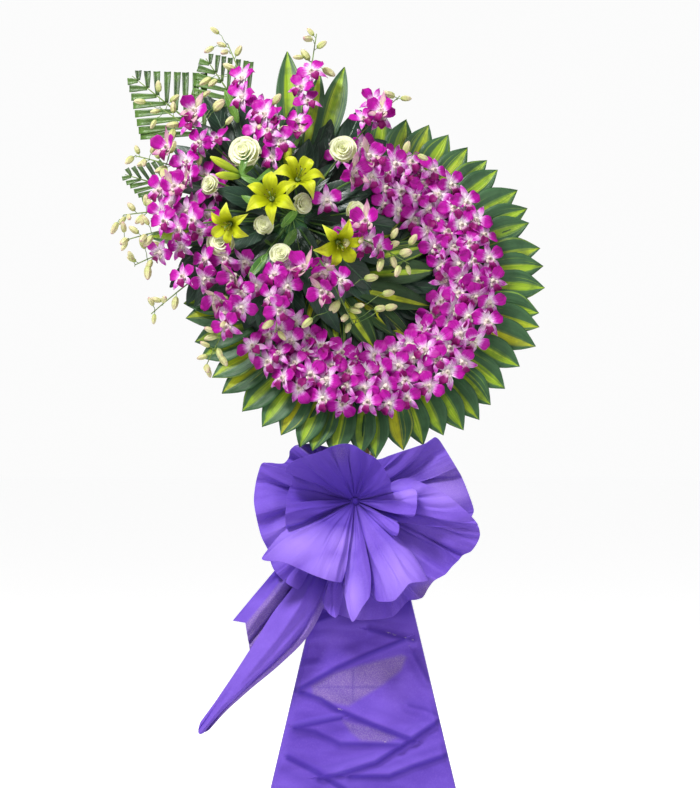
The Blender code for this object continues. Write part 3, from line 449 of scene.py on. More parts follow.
# each: the places and tones from heart to tip, the tone and strength of the veins, roughness, raggedness
petals = {
    "orchidPetal": (
        (
            (0, 0.97, 0.94, 0.95), (0.2, 0.95, 0.86, 0.94), (0.36, 0.86, 0.46, 0.83), (0.5, 0.74, 0.03, 0.65),
            (1, 0.66, 0, 0.56),
        ),
        (0.46, 0, 0.36), 0.45, 0.5, 0.35,
    ),
    "orchidSepal": (
        (
            (0, 0.97, 0.94, 0.95), (0.36, 0.96, 0.87, 0.95), (0.6, 0.88, 0.58, 0.87), (0.82, 0.76, 0.18, 0.7),
            (1, 0.92, 0.74, 0.9),
        ),
        (0.68, 0.08, 0.61), 0.75, 0.5, 0.45,
    ),
    "orchidLip": (
        (
            (0, 0.9, 0.86, 0.84), (0.22, 0.86, 0.66, 0.8), (0.4, 0.58, 0.02, 0.44), (0.9, 0.54, 0, 0.39),
            (1, 0.66, 0.1, 0.56),
        ),
        (0.34, 0, 0.24), 0.55, 0.5, 0.2,
    ),
    # the column darkens to its end: painted shade in the hollow of the stigma
    "orchidColumn": (
        ((0, 0.92, 0.89, 0.87), (0.7, 0.9, 0.87, 0.8), (0.86, 0.62, 0.56, 0.5), (1, 0.36, 0.34, 0.3)),
        (0.76, 0.6, 0.66), 0.3, 0.5, 0.0,
    ),
    "orchidBud": (
        ((0, 0.6, 0.68, 0.34), (0.35, 0.78, 0.81, 0.52), (0.75, 0.85, 0.83, 0.64), (1, 0.76, 0.56, 0.62)),
        (0.66, 0.52, 0.48), 0.7, 0.5, 0.5,
    ),
    "orchidPale": (
        ((0, 0.66, 0.72, 0.42), (0.3, 0.86, 0.84, 0.68), (0.65, 0.84, 0.7, 0.72), (1, 0.72, 0.42, 0.62)),
        (0.66, 0.3, 0.54), 0.6, 0.5, 0.4,
    ),
    "stemGreen": (
        ((0, 0.26, 0.38, 0.18), (0.5, 0.38, 0.52, 0.25), (1, 0.55, 0.63, 0.36)),
        (0.26, 0.36, 0.16), 0.5, 0.5, 0.0,
    ),
    "rosePetal": (
        ((0, 0.9, 0.92, 0.66), (0.4, 0.94, 0.95, 0.74), (0.8, 0.96, 0.96, 0.81), (1, 0.97, 0.97, 0.87)),
        (0.86, 0.9, 0.64), 0.55, 0.6, 0.2,
    ),
    "lilyPetal": (
        (
            (0, 0.36, 0.44, 0.04), (0.16, 0.6, 0.63, 0.02), (0.45, 0.74, 0.77, 0.06), (0.8, 0.8, 0.82, 0.2),
            (1, 0.8, 0.83, 0.36),
        ),
        (0.62, 0.67, 0.05), 0.6, 0.5, 0.3,
    ),
    "lilyBud": (
        ((0, 0.36, 0.5, 0.12), (0.3, 0.58, 0.66, 0.14), (0.75, 0.74, 0.77, 0.2), (1, 0.78, 0.8, 0.3)),
        (0.46, 0.57, 0.1), 0.6, 0.5, 0.4,
    ),
    "lilyAnther": (
        ((0, 0.66, 0.7, 0.24), (0.7, 0.62, 0.62, 0.2), (1, 0.24, 0.16, 0.06)),
        (0.3, 0.2, 0.08), 0.4, 0.5, 0.0,
    ),
}
(
    orchidPetal, orchidSepal, orchidLip, orchidColumn, orchidBud, orchidPale,
    stemGreen, rosePetal, lilyPetal, lilyBud, lilyAnther,
) = (petalMaterial(name, *values) for name, values in petals.items())
print("petal materials made")


def stripedLeafMaterial(name, place, low, high, darkGreen, lightGreen):
    # a lime stripe to one side of a dark leaf, its edges broken up into fine lines
    material, tree, shader = newMaterial(name, 0.42, Specular_IOR_Level=0.4)
    sheet, shade = sheetVector(tree), painting(tree, "shade")
    across, along = splitSheet(tree, sheet)
    lines = useGroup(tree, streaks, Sheet=sheet, Shade=shade, Count=9.0, Waver=0.35)
    fine = useGroup(tree, streaks, Sheet=sheet, Shade=shade, Count=26.0, Waver=0.6)
    middleShift = work(tree, "MULTIPLY_ADD", minus(tree, shade, 0.5), 0.12, place)
    out = work(tree, "ABSOLUTE", minus(tree, across, middleShift))
    jitter = times(tree, minus(tree, lines.outputs["Streak"], 0.5), 0.30)
    thinner = times(tree, span(tree, along, 0.75, 1.0), 0.05)
    band = span(tree, plus(tree, plus(tree, out, jitter), thinner), low, high, 1, 0)
    thin = times(tree, span(tree, lines.outputs["Streak"], 0.60, 0.65), 0.5)
    stripe = work(tree, "MAXIMUM", band, thin)
    yellow = span(tree, shade, 0.52, 0.92)
    lime = mixed(tree, lines.outputs["Line"], tone(0.58, 0.72, 0.12), tone(0.74, 0.82, 0.22))
    lime = mixed(tree, times(tree, yellow, 0.8), lime, tone(0.78, 0.76, 0.06))
    lime = mixed(tree, times(tree, fine.outputs["Line"], 0.4), lime, tone(0.34, 0.50, 0.14))
    green = mixed(tree, lines.outputs["Streak"], darkGreen, lightGreen)
    green = mixed(tree, times(tree, fine.outputs["Line"], 0.3), green, lightGreen)
    blotch = useGroup(tree, mottle, Vector=objectVector(tree), Scale=28.0, Grain=700.0)
    colour = mixed(tree, stripe, green, lime)
    colour = mixed(tree, span(tree, blotch.outputs["Slow"], 0.42, 0.68, 0.0, 0.5), colour, darkGreen)
    height = plus(tree, fine.outputs["Streak"], times(tree, lines.outputs["Line"], 0.4))
    dressed(tree, shader, colour, blotch.outputs["Fine"], (0.34, 0.5), height, 0.5, 0.0015)
    return material


def broadLeafMaterial(name, dark, light, rib, roughness, count, slant):
    material, tree, shader = newMaterial(name, roughness)
    sheet, shade = sheetVector(tree), painting(tree, "shade")
    veins = useGroup(tree, leafVeins, Sheet=sheet, Count=count, Slant=slant)
    blotch = useGroup(tree, mottle, Vector=objectVector(tree), Scale=22.0, Grain=600.0)
    amount = times(tree, plus(tree, shade, span(tree, blotch.outputs["Slow"], 0.3, 0.7)), 0.5)
    colour = mixed(tree, amount, dark, light)
    colour = mixed(tree, times(tree, veins.outputs["Vein"], 0.35), colour, rib)
    colour = mixed(tree, times(tree, veins.outputs["Midrib"], 0.75), colour, rib)
    sunk = plus(tree, veins.outputs["Midrib"], veins.outputs["Vein"])
    height = minus(tree, times(tree, blotch.outputs["Slow"], 0.6), sunk)
    dressed(tree, shader, colour, blotch.outputs["Fine"], (roughness - 0.06, roughness + 0.08), height, 0.5, 0.002)
    return material


stripedLeaf = stripedLeafMaterial("stripedLeaf", 0.61, 0.09, 0.21, tone(0.14, 0.29, 0.16), tone(0.30, 0.47, 0.29))
darkStriped = stripedLeafMaterial("darkStriped", 0.50, 0.06, 0.14, tone(0.08, 0.18, 0.08), tone(0.20, 0.33, 0.15))
wideStriped = stripedLeafMaterial("wideStriped", 0.50, 0.14, 0.27, tone(0.17, 0.32, 0.20), tone(0.30, 0.45, 0.27))
broadLeaf = broadLeafMaterial(
    "broadLeaf", tone(0.04, 0.12, 0.08), tone(0.15, 0.27, 0.20), tone(0.25, 0.38, 0.26), 0.36, 9.0, 5.0,
)
frondLeaf = broadLeafMaterial(
    "frondLeaf", tone(0.10, 0.19, 0.10), tone(0.36, 0.51, 0.20), tone(0.46, 0.60, 0.30), 0.42, 3.0, 1.0,
)
lilyLeaf = broadLeafMaterial(
    "lilyLeaf", tone(0.20, 0.40, 0.12), tone(0.42, 0.60, 0.22), tone(0.56, 0.70, 0.32), 0.38, 2.0, 1.0,
)
print("leaf materials made")


def clothMaterial():
    # thin non-woven cloth: pressed fibres, deeper where layers lie together and darker with painted shade in folds,
    # under laps and round the knot, painted highlights on the bow's lobes that catch the light, greyer where one
    # layer is sheer
    material, tree, shader = newMaterial("purpleCloth", 0.72, Sheen_Weight=0.12, Sheen_Roughness=0.5)
    shader.inputs["Sheen Tint"].default_value = tone(0.86, 0.78, 1.0)
    place = objectVector(tree)
    fibres = useGroup(tree, mottle, Vector=place, Scale=9.0, Grain=520.0)
    threads = put(tree, "ShaderNodeTexNoise", Vector=place, Scale=230.0, Detail=4.0, Roughness=0.7, Distortion=0.4)
    thin = painting(tree, "thin")
    shadeAndDeepTone = painting(tree, "shadeAndDeepTone")
    torn = painting(tree, "torn")
    base = mixed(tree, span(tree, fibres.outputs["Slow"], 0.3, 0.7), tone(0.40, 0.25, 0.75), tone(0.47, 0.32, 0.82))
    base = mixed(tree, span(tree, threads.outputs[0], 0.42, 0.68, 0.0, 0.22), base, tone(0.58, 0.46, 0.86))
    grains = span(tree, fibres.outputs["Fine"], 0.46, 0.60)
    pale = mixed(tree, grains, tone(0.47, 0.35, 0.66), tone(0.60, 0.51, 0.70))
    base = mixed(tree, times(tree, thin, 0.85), base, pale)
    # painted shade in folds, under laps, round the knot and under the bow, with a deeper tone where layers lie
    # together
    base = mixed(tree, times(tree, shadeAndDeepTone, 0.95, clamp=True), base, tone(0.225, 0.07, 0.59))
    # painted highlights on the bow's lobes that catch the light
    light = painting(tree, "light")
    base = mixed(tree, times(tree, light, 0.75, clamp=True), base, tone(0.66, 0.52, 0.95))
    base = mixed(
        tree, span(tree, plus(tree, torn, times(tree, grains, 0.3)), 0.5, 0.9), base,
        tone(0.66, 0.58, 0.68),
    )
    height = plus(tree, times(tree, threads.outputs[0], 0.5), fibres.outputs["Fine"])
    dressed(tree, shader, base, threads.outputs[0], (0.64, 0.82), height, 0.35, 0.0008)
    return material


def woodMaterial(name, runScale, crossScale):
    # rough-sawn wood: grain along the lath, saw marks across it
    material, tree, shader = newMaterial(name, 0.7)
    place = objectVector(tree)
    stretched = put(tree, "ShaderNodeMapping", Vector=place, Scale=runScale)
    grain = put(
        tree, "ShaderNodeTexNoise", Vector=stretched.outputs[0], Scale=1.0, Detail=5.0, Roughness=0.6, Distortion=0.5,
    )
    across = put(tree, "ShaderNodeMapping", Vector=place, Scale=crossScale)
    saw = put(tree, "ShaderNodeTexNoise", Vector=across.outputs[0], Scale=1.0, Detail=2.0, Roughness=0.5)
    blotch = useGroup(tree, mottle, Vector=place, Scale=11.0, Grain=420.0)
    colour = ramp(
        tree, grain.outputs[0],
        ((0.3, tone(0.52, 0.38, 0.24)), (0.5, tone(0.72, 0.57, 0.39)), (0.72, tone(0.82, 0.70, 0.52))),
    )
    colour = mixed(tree, span(tree, blotch.outputs["Slow"], 0.45, 0.75, 0.0, 0.45), colour, tone(0.48, 0.36, 0.24))
    height = plus(tree, grain.outputs[0], times(tree, saw.outputs[0], 0.6))
    dressed(tree, shader, colour, blotch.outputs["Fine"], (0.6, 0.82), height, 0.55, 0.0012)
    return material


def strawMaterial():
    # straw bound in rounds: fibres follow the round, with darker rings between the coils, painted shade in the
    # grooves
    material, tree, shader = newMaterial("boundStraw", 0.85)
    turned = put(tree, "ShaderNodeMapping", {"vector_type": "TEXTURE"}, Vector=objectVector(tree))
    turned.inputs["Location"].default_value = middle
    turned.inputs["Rotation"].default_value = (-lean, 0, 0)
    parts = put(tree, "ShaderNodeSeparateXYZ", Vector=turned.outputs[0])
    x, z = parts.outputs[0], parts.outputs[2]
    radius = work(tree, "SQRT", plus(tree, times(tree, x, x), times(tree, z, z)))
    angle = work(tree, "ARCTAN2", z, x)
    place = put(
        tree,
        "ShaderNodeCombineXYZ",
        X=times(tree, radius, 420),
        Y=times(tree, angle, 14),
        Z=times(tree, parts.outputs[1], 420),
    )
    fibres = put(
        tree, "ShaderNodeTexNoise", Vector=place.outputs[0], Scale=1.0, Detail=4.0, Roughness=0.65, Distortion=0.3,
    )
    coil = work(tree, "ABSOLUTE", work(tree, "SINE", times(tree, radius, math.pi / 0.019)))
    colour = ramp(
        tree, fibres.outputs[0],
        ((0.3, tone(0.42, 0.33, 0.17)), (0.5, tone(0.68, 0.57, 0.33)), (0.7, tone(0.83, 0.74, 0.50))),
    )
    # painted shade in the grooves between the coils
    colour = mixed(tree, span(tree, coil, 0.0, 0.35, 0.7, 0.0), colour, tone(0.24, 0.18, 0.09))
    height = plus(tree, fibres.outputs[0], times(tree, coil, 2.0))
    dressed(tree, shader, colour, fibres.outputs[0], (0.75, 0.95), height, 0.8, 0.003)
    return material


def foamMaterial():
    # wet floral foam: fine open cells
    material, tree, shader = newMaterial("wetFoam", 0.9)
    place = objectVector(tree)
    cells = put(tree, "ShaderNodeTexVoronoi", Vector=place, Scale=420.0)
    blotch = useGroup(tree, mottle, Vector=place, Scale=30.0, Grain=800.0)
    colour = mixed(tree, span(tree, blotch.outputs["Slow"], 0.3, 0.7), tone(0.10, 0.24, 0.13), tone(0.20, 0.38, 0.20))
    # painted shade in the hollows of the open cells
    colour = mixed(tree, span(tree, cells.outputs["Distance"], 0.0, 0.5, 0.5, 0.0), colour, tone(0.05, 0.12, 0.07))
    dressed(tree, shader, colour, blotch.outputs["Fine"], (0.8, 0.98), cells.outputs["Distance"], 0.6, 0.001)
    return material


purpleCloth = clothMaterial()
woodUp = woodMaterial("sawnWoodUp", (210, 210, 9), (60, 60, 240))
woodAcross = woodMaterial("sawnWoodAcross", (9, 210, 210), (240, 60, 60))
boundStraw = strawMaterial()
wetFoam = foamMaterial()
print("cloth, wood, straw and foam materials made")

for material, names in (
    (woodUp, ("leg_left", "leg_right", "centre_post", "rear_leg")),
    (woodAcross, ("crossbar_low", "crossbar_high")),
    (boundStraw, ("backing_round",)),
    (wetFoam, ("foam_block",)),
):
    for name in names:
        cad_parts[name].data.materials.clear()
        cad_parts[name].data.materials.append(material)


# Orchid flowers

orchid = {
    "reach": 0.028,
    "kinds": 8,  # of flower, from open to cupped; the last two half open and pale
    "open": 6,
    "thickness": 0.018,  # of a petal, as a share of the reach
    "petal": {"turn": 24, "length": 1.0, "half": 0.40, "wide": 4, "long": 5},
    "sepal": {"turn": 90, "length": 1.04, "half": 0.20, "wide": 2, "long": 4},
    "lowSepal": {"turn": 308, "length": 1.02, "half": 0.205, "wide": 2, "long": 4},
    "lip": {"turn": 270, "length": 0.76, "half": 0.27, "wide": 4, "long": 4},
    "wing": {"length": 0.34, "half": 0.12, "wide": 2, "long": 2},
    "petalEdge": ((0, 0.22), (0.22, 0.58), (0.5, 0.95), (0.72, 1.0), (0.9, 0.70), (1, 0.12)),
    "sepalEdge": ((0, 0.55), (0.3, 0.92), (0.5, 1.0), (0.78, 0.64), (1, 0.03)),
    "lipEdge": ((0, 0.45), (0.25, 0.55), (0.45, 0.66), (0.72, 1.0), (0.9, 0.78), (1, 0.25)),
}
orchidPaint = [orchidPetal, orchidSepal, orchidLip, orchidColumn, stemGreen, orchidBud, orchidPale]
petalPaint, sepalPaint, lipPaint, columnPaint, stemPaint, budPaint, palePaint, mossPaint = range(8)


def orchidLobe(spec, edge, cup, curl, twist, paint):
    bm = startSheet(spec["wide"], spec["long"])

    def rule(across, along):
        half = spec["half"] * readCurve(edge, along)
        out = 0.03 + (spec["length"] - 0.03) * along
        lift = curl[0] * math.sin(math.pi * along) + curl[1] * along**2
        lift += cup * across * across * half + twist * across * along
        return Vector((across * half, out, lift))

    thickened(shapeSheet(bm, rule), orchid["thickness"])
    return painted(bm, paint)


def orchidFlower(kind):
    draw = seeded(900 + kind)
    whole = newWhole()
    pale = kind >= orchid["open"]
    shut = 1.5 if pale else 0.02 + 0.11 * kind
    for side in (1, -1):
        for name, edge, paint in (("petal", "petalEdge", petalPaint), ("lowSepal", "sepalEdge", sepalPaint)):
            spec = dict(orchid[name])
            if pale:
                spec["length"] *= 0.8
            curl = (0.10 + 0.05 * draw.random(), shut * 0.5 - 0.10 + 0.12 * draw.uniform(-1, 1))
            if name == "lowSepal":
                curl = (0.06, shut * 0.5 - 0.20 + 0.10 * draw.uniform(-1, 1))
            cup = 0.28 if paint == petalPaint else 0.5
            twist = 0.14 * draw.uniform(-1, 1)
            bm = orchidLobe(spec, orchid[edge], cup, curl, twist, palePaint if pale and paint else paint)
            turn = math.radians(spec["turn"] + draw.uniform(-7, 7))
            turn = turn if side > 0 else math.pi - turn
            addPart(whole, bm, Matrix.Rotation(turn - math.pi / 2, 4, "Z"))
    curl = (0.06, shut * 0.5 - 0.16 + 0.10 * draw.uniform(-1, 1))
    bm = orchidLobe(
        orchid["sepal"], orchid["sepalEdge"], 0.5, curl, 0.10 * draw.uniform(-1, 1),
        palePaint if pale else sepalPaint,
    )
    addPart(whole, bm)
    curl = (0.26, 0.02 + 0.05 * draw.random())
    bm = orchidLobe(orchid["lip"], orchid["lipEdge"], 0.5, curl, 0.1 * draw.uniform(-1, 1), lipPaint)
    addPart(whole, bm, Matrix.Translation((0, 0, 0.06)) @ Matrix.Rotation(math.pi, 4, "Z"))
    for side in (1, -1):
        bm = orchidLobe(orchid["wing"], orchid["sepalEdge"], 0.4, (0.05, 0.22), 0, columnPaint)
        place = Matrix.Translation((0.05 * side, -0.03, 0.07))
        addPart(whole, bm, place @ Matrix.Rotation(math.pi + 0.75 * side, 4, "Z"))
    line = [Vector((0, y, z)) for y, z in ((0.03, -0.16), (0.03, 0.02), (0.02, 0.16), (-0.02, 0.27), (-0.05, 0.28))]
    addTube(whole, line, (0.06, 0.17, 0.16, 0.11, 0.02), 6, columnPaint)
    return asMesh(whole, f"orchidFlower{kind}")


def budShape(length, radius, bend):
    line = [Vector((0, length * share, bend * share * share)) for share in (0.0, 0.14, 0.42, 0.72, 0.93, 1.0)]
    return rolledTube(line, [radius * share for share in (0.30, 0.80, 1.0, 0.86, 0.46, 0.10)], 6)


orchidFlowers = [orchidFlower(kind) for kind in range(orchid["kinds"])]
orchidBudMesh = asMesh(painted(budShape(1.0, 0.27, -0.12), budPaint), "orchidBud")
print("orchid flowers shaped")


def addStalk(whole, start, end, startRadius, endRadius, sag):
    middlePoint = (start + end) / 2 + sag
    line = [curvePoint((start, middlePoint, end), k / 3) for k in range(4)]
    radii = [startRadius + (endRadius - startRadius) * k / 3 for k in range(4)]
    addTube(whole, line, radii, 4, stemPaint, shade=0.6)


def addOrchid(whole, pose, size, root, draw, kind=None):
    scale = Matrix.Scale(size, 4)
    if kind is None:
        kind = draw.randrange(orchid["open"])
    addCopy(whole, orchidFlowers[kind], pose @ scale, draw.random())
    back = pose @ Vector((0, 0, -0.14 * size))
    facing = pose.to_3x3() @ Vector((0, 0, 1))
    addStalk(whole, root, back, 0.0009, 0.0012, -facing * (root - back).length * 0.25)


# The bank of orchids: the same places as the blocks they stand for

bank = {
    "from": 82,
    "to": -152,
    "blocks": 6,
    "rows": ((0.178, 0.046, -6, 3), (0.212, 0.056, 3, 4), (0.247, 0.060, 12, 4), (0.283, 0.056, 26, 4)),
    "inner": 0.168,
    "outer": 0.262,
    "base": 0.015,
    "top": 0.040,
    "lap": 0.28,
    "grow": 1.34,  # of a flower past its block's, so that they close up
    "fillers": 5,  # smaller flowers a block, sunk between the others
}


def bankSpots(block):
    draw = seeded(100 + block)
    reach = math.radians(bank["to"] - bank["from"]) / bank["blocks"]
    spots = []
    for radius, off, tilt, count in bank["rows"]:
        for k in range(count):
            share = (k + 0.5 + 0.12 * draw.uniform(-1, 1)) / count
            angle = math.radians(bank["from"]) + reach * (block + share)
            r = radius + 0.004 * draw.uniform(-1, 1)
            tip = math.radians(tilt + 3 * draw.uniform(-1, 1))
            spin = draw.uniform(-0.7, 0.7)
            size = orchid["reach"] * draw.uniform(0.90, 1.06)
            height = off + 0.001 * draw.uniform(-1, 1)
            spots.append((r, angle, height, tip, spin, size))
    return spots


def bankPose(r, angle, off, tip, spin, lap):
    across = math.cos(angle) * math.sin(tip) + math.sin(angle) * lap
    up = math.sin(angle) * math.sin(tip) - math.cos(angle) * lap
    facing = direction(across, up, math.cos(tip))
    run = direction(math.sin(spin), math.cos(spin), 0)
    return posed(polar(r, angle, off), run - facing * run.dot(facing), facing)


def bankRoot(r, angle):  # where a stalk goes into the bed
    return polar(min(max(r, bank["inner"] + 0.012), bank["outer"] - 0.012), angle, bank["top"] - 0.012)


def bankMoss(block):  # the bed the stalks go into, roughened
    reach = math.radians(bank["to"] - bank["from"]) / bank["blocks"]
    start = math.radians(bank["from"]) + reach * block
    section = (
        (bank["inner"], bank["base"]),
        (bank["inner"], bank["top"] - 0.014),
        (bank["inner"] + 0.022, bank["top"]),
        (bank["outer"] - 0.022, bank["top"]),
        (bank["outer"], bank["top"] - 0.014),
        (bank["outer"], bank["base"]),
    )
    bm = startSheet(len(section) - 1, 8)

    def rule(across, along):
        r, off = section[round((across + 1) / 2 * (len(section) - 1))]
        angle = start + reach * along
        rough = noise.noise(Vector((r * 90, angle * 22, block))) * 0.003
        return polar(r, angle, off + rough)

    shapeSheet(bm, rule)
    bmesh.ops.holes_fill(bm, edges=[e for e in bm.edges if e.is_boundary])
    bmesh.ops.recalc_face_normals(bm, faces=bm.faces)
    return painted(bm, mossPaint)


for block in range(bank["blocks"]):
    draw = seeded(500 + block)
    whole = newWhole()
    addPart(whole, bankMoss(block))
    for r, angle, off, tip, spin, size in bankSpots(block):
        turned = spin * 1.3 + (math.pi if draw.random() < 0.08 else 0)
        off += 0.007 * draw.uniform(-0.6, 1)
        tip += 0.35 * draw.uniform(-1, 1)
        pose = bankPose(r, angle, off, tip, turned, bank["lap"] + 0.4 * draw.uniform(-1, 1))
        addOrchid(whole, pose, size * bank["grow"], bankRoot(r, angle), draw)
    reach = math.radians(bank["to"] - bank["from"]) / bank["blocks"]
    for k in range(bank["fillers"]):
        share = (k + 0.5 + 0.5 * draw.uniform(-1, 1)) / bank["fillers"]
        angle = math.radians(bank["from"]) + reach * (block + share)
        r = draw.uniform(0.176, 0.290)
        off, tip = 0.043 + 0.006 * draw.random(), draw.uniform(-0.3, 0.6)
        pose = bankPose(r, angle, off, tip, draw.uniform(-1.4, 1.4), draw.uniform(-0.5, 0.5))
        addOrchid(whole, pose, orchid["reach"] * draw.uniform(0.86, 1.0), bankRoot(r, angle), draw)
    finishPiece(whole, f"orchidBank{block + 1}", orchidPaint + [broadLeaf], [f"orchid_bank_{block + 1}"])
print("orchid bank planted")


# The orchid sprays of the corner: tip, how far tip and bend stand off, flowers, buds

corner = {
    "hub": (-0.155, 0.148),
    "stemRadius": 0.0022,
    "root": 0.035,
    "foot": 0.067,
    "from": 0.40,
    "grow": 1.30,
    "clear": 0.044,  # between two flowers
    # pixels and reach of the roses and lilies, which flowers keep behind
    "blooms": (
        (272, 199, 0.070), (300, 177, 0.066), (229, 226, 0.058), (341, 247, 0.064), (245, 153, 0.050),
        (343, 150, 0.046), (282, 253, 0.038), (263, 222, 0.036), (303, 205, 0.036), (355, 212, 0.036), (
            210, 185, 0.036,
        ),
    ),
    "sprays": (
        ((-0.300, 0.535), 0.060, 0.120, 4, 3),
        ((-0.103, 0.560), 0.040, 0.110, 4, 3),
        ((0.082, 0.418), 0.050, 0.130, 4, 2),
        ((-0.448, 0.390), 0.060, 0.135, 4, 3),
        ((-0.500, 0.282), 0.060, 0.130, 4, 4),
        ((-0.526, 0.150), 0.060, 0.145, 5, 4),
        ((-0.520, 0.092), 0.095, 0.175, 4, 3),
        ((-0.500, 0.040), 0.050, 0.135, 3, 3),
        ((-0.462, -0.068), 0.060, 0.135, 4, 3),
        ((-0.345, -0.190), 0.070, 0.150, 5, 4),
        ((0.100, 0.040), 0.110, 0.180, 4, 4),
        ((-0.022, -0.090), 0.100, 0.190, 3, 3),
        ((-0.190, -0.110), 0.090, 0.160, 5, 2),
        ((0.120, 0.285), 0.110, 0.165, 4, 2),
        ((-0.205, 0.390), 0.120, 0.170, 5, 1),
    ),
}


def sprayLine(tip, tipOff, bendOff):
    hub = Vector(corner["hub"])
    away = Vector(tip) - hub
    toward = away.normalized() * corner["root"]
    root = seen(hub.x + toward.x, hub.y + toward.y, corner["foot"])
    bend = seen(hub.x + away.x * 0.55, hub.y + away.y * 0.55 + 0.020, bendOff)
    return (root, bend, seen(tip[0], tip[1], tipOff))


def addOrchidBud(whole, foot, out, length, draw):
    addStalk(whole, foot, foot + out * length * 0.35, 0.0008, 0.0011, Vector((0, 0, -0.001)))
    pose = posed(foot + out * length * 0.32, out, outward + sideways * draw.uniform(-0.6, 0.6))
    addCopy(whole, orchidBudMesh, pose @ Matrix.Scale(length, 4), draw.random())


def onBloom(place):  # behind a rose or a lily, as the front view shows it
    for x, y, reach in corner["blooms"]:
        spot = atPixel(x, y, 0)
        if math.hypot(spot.x - place.x, spot.z - place.z) < reach:
            return True
    return False


def makeSpray(number):
    tip, tipOff, bendOff, flowers, buds = corner["sprays"][number]
    placing = seeded(200 + number)
    draw = seeded(700 + number)
    line = sprayLine(tip, tipOff, bendOff)
    whole = newWhole()
    centres = []
    points = [curvePoint(line, k / 14) for k in range(15)]
    radii = [corner["stemRadius"] * (1.2 - 0.65 * k / 14) for k in range(15)]
    addTube(whole, points, radii, 6, stemPaint, shade=0.3)
    count = flowers + buds
    for k in range(count):
        share = corner["from"] + (0.97 - corner["from"]) * (k / (count - 1)) ** 0.9
        point, run = curvePoint(line, share), curveRun(line, share)
        side = run.cross(outward).normalized() * (1 if k % 2 else -1)
        if k < flowers:
            out = (outward * 0.9 + side * 0.75 - run * 0.1).normalized()
            size = orchid["reach"] * placing.uniform(0.92, 1.05)
            facing = (outward + run * 0.5 + side * 0.25 + sideways * 0.1 * placing.uniform(-1, 1)).normalized()
            facing = (facing + sideways * draw.uniform(-0.6, 0.6) + upward * draw.uniform(-0.5, 0.3)).normalized()
            upright = Vector((placing.uniform(-0.5, 0.5) * 1.6, 0, 1))
            centre = point + facing * 0.0156 + out * 0.010
            if onBloom(centre):
                centre -= outward * 0.040
            pose = posed(centre, upright - facing * upright.dot(facing), facing)
            addOrchid(whole, pose, size * corner["grow"], point, draw)
            centres.append(centre)
        else:
            length = 0.030 * (1 - 0.35 * (k - flowers) / max(buds, 1))
            out = (run * 0.8 + side * 0.8 + outward * 0.35).normalized()
            addOrchidBud(whole, point, out, length, draw)
    finishPiece(whole, f"orchidSpray{number + 1}", orchidPaint, [f"orchid_spray_{number + 1}"])
    return centres


taken = []  # the places of flowers in the corner
for number in range(len(corner["sprays"])):
    taken += makeSpray(number)
print("orchid sprays made")

# Flowers and buds between the sprays, by their pixel in the photograph, each on the nearest stem

between = {
    "flowers": (
        (237, 79), (235, 102), (373, 100), (383, 114), (193, 111), (185, 173), (160, 190), (198, 200),
        (166, 212), (192, 213), (169, 229), (173, 234), (161, 252), (177, 276), (210, 319), (233, 277),
        (219, 291), (258, 298), (271, 291), (275, 319), (228, 209), (319, 264), (320, 286), (327, 159),
        (330, 177), (327, 201), (332, 220), (374, 223), (303, 122), (281, 128), (258, 130), (352, 183),
        (207, 133), (188, 148), (215, 226), (246, 262), (300, 299), (181, 255), (290, 112), (345, 118),
        (248, 118), (226, 160), (330, 138), (310, 140), (205, 245), (192, 262), (238, 300), (262, 276),
    ),
    "pale": (
        (353, 176), (236, 279), (323, 295), (194, 112), (300, 136), (187, 186), (168, 150), (368, 160),
        (382, 113), (366, 226), (306, 272), (217, 300), (326, 276), (175, 190),
    ),
    "buds": (
        (173, 127), (292, 127), (268, 124), (225, 123), (165, 168), (198, 165), (213, 109), (210, 74),
        (212, 42), (226, 47), (217, 28), (216, 76), (311, 34), (303, 53), (322, 64), (395, 93), (144, 99),
        (157, 89), (168, 99), (154, 117), (201, 94), (212, 106), (132, 155), (143, 158), (150, 152),
        (169, 152), (164, 168), (117, 222), (128, 215), (142, 215), (146, 206), (150, 226), (125, 233),
        (128, 240), (147, 236), (145, 249), (133, 261), (148, 266), (164, 302), (154, 306), (230, 300),
        (227, 323), (216, 332), (211, 347), (221, 356), (208, 366), (347, 238), (362, 241), (391, 240),
        (409, 246), (399, 255), (382, 260), (399, 267), (364, 280), (382, 295), (374, 310), (384, 309),
        (337, 303), (354, 307), (347, 317), (313, 319),
    ),
}
stemPoints = []
for tip, tipOff, bendOff, flowers, buds in corner["sprays"]:
    line = sprayLine(tip, tipOff, bendOff)
    stemPoints += [curvePoint(line, 0.25 + 0.75 * k / 24) for k in range(25)]


def offFace(point):
    return (point - middle).dot(outward)


def nearestStem(x, y):
    flat = atPixel(x, y, 0)
    best = min(stemPoints, key=lambda p: (p.x - flat.x) ** 2 + (p.z - flat.z) ** 2)
    return best, math.hypot(best.x - flat.x, best.z - flat.z)


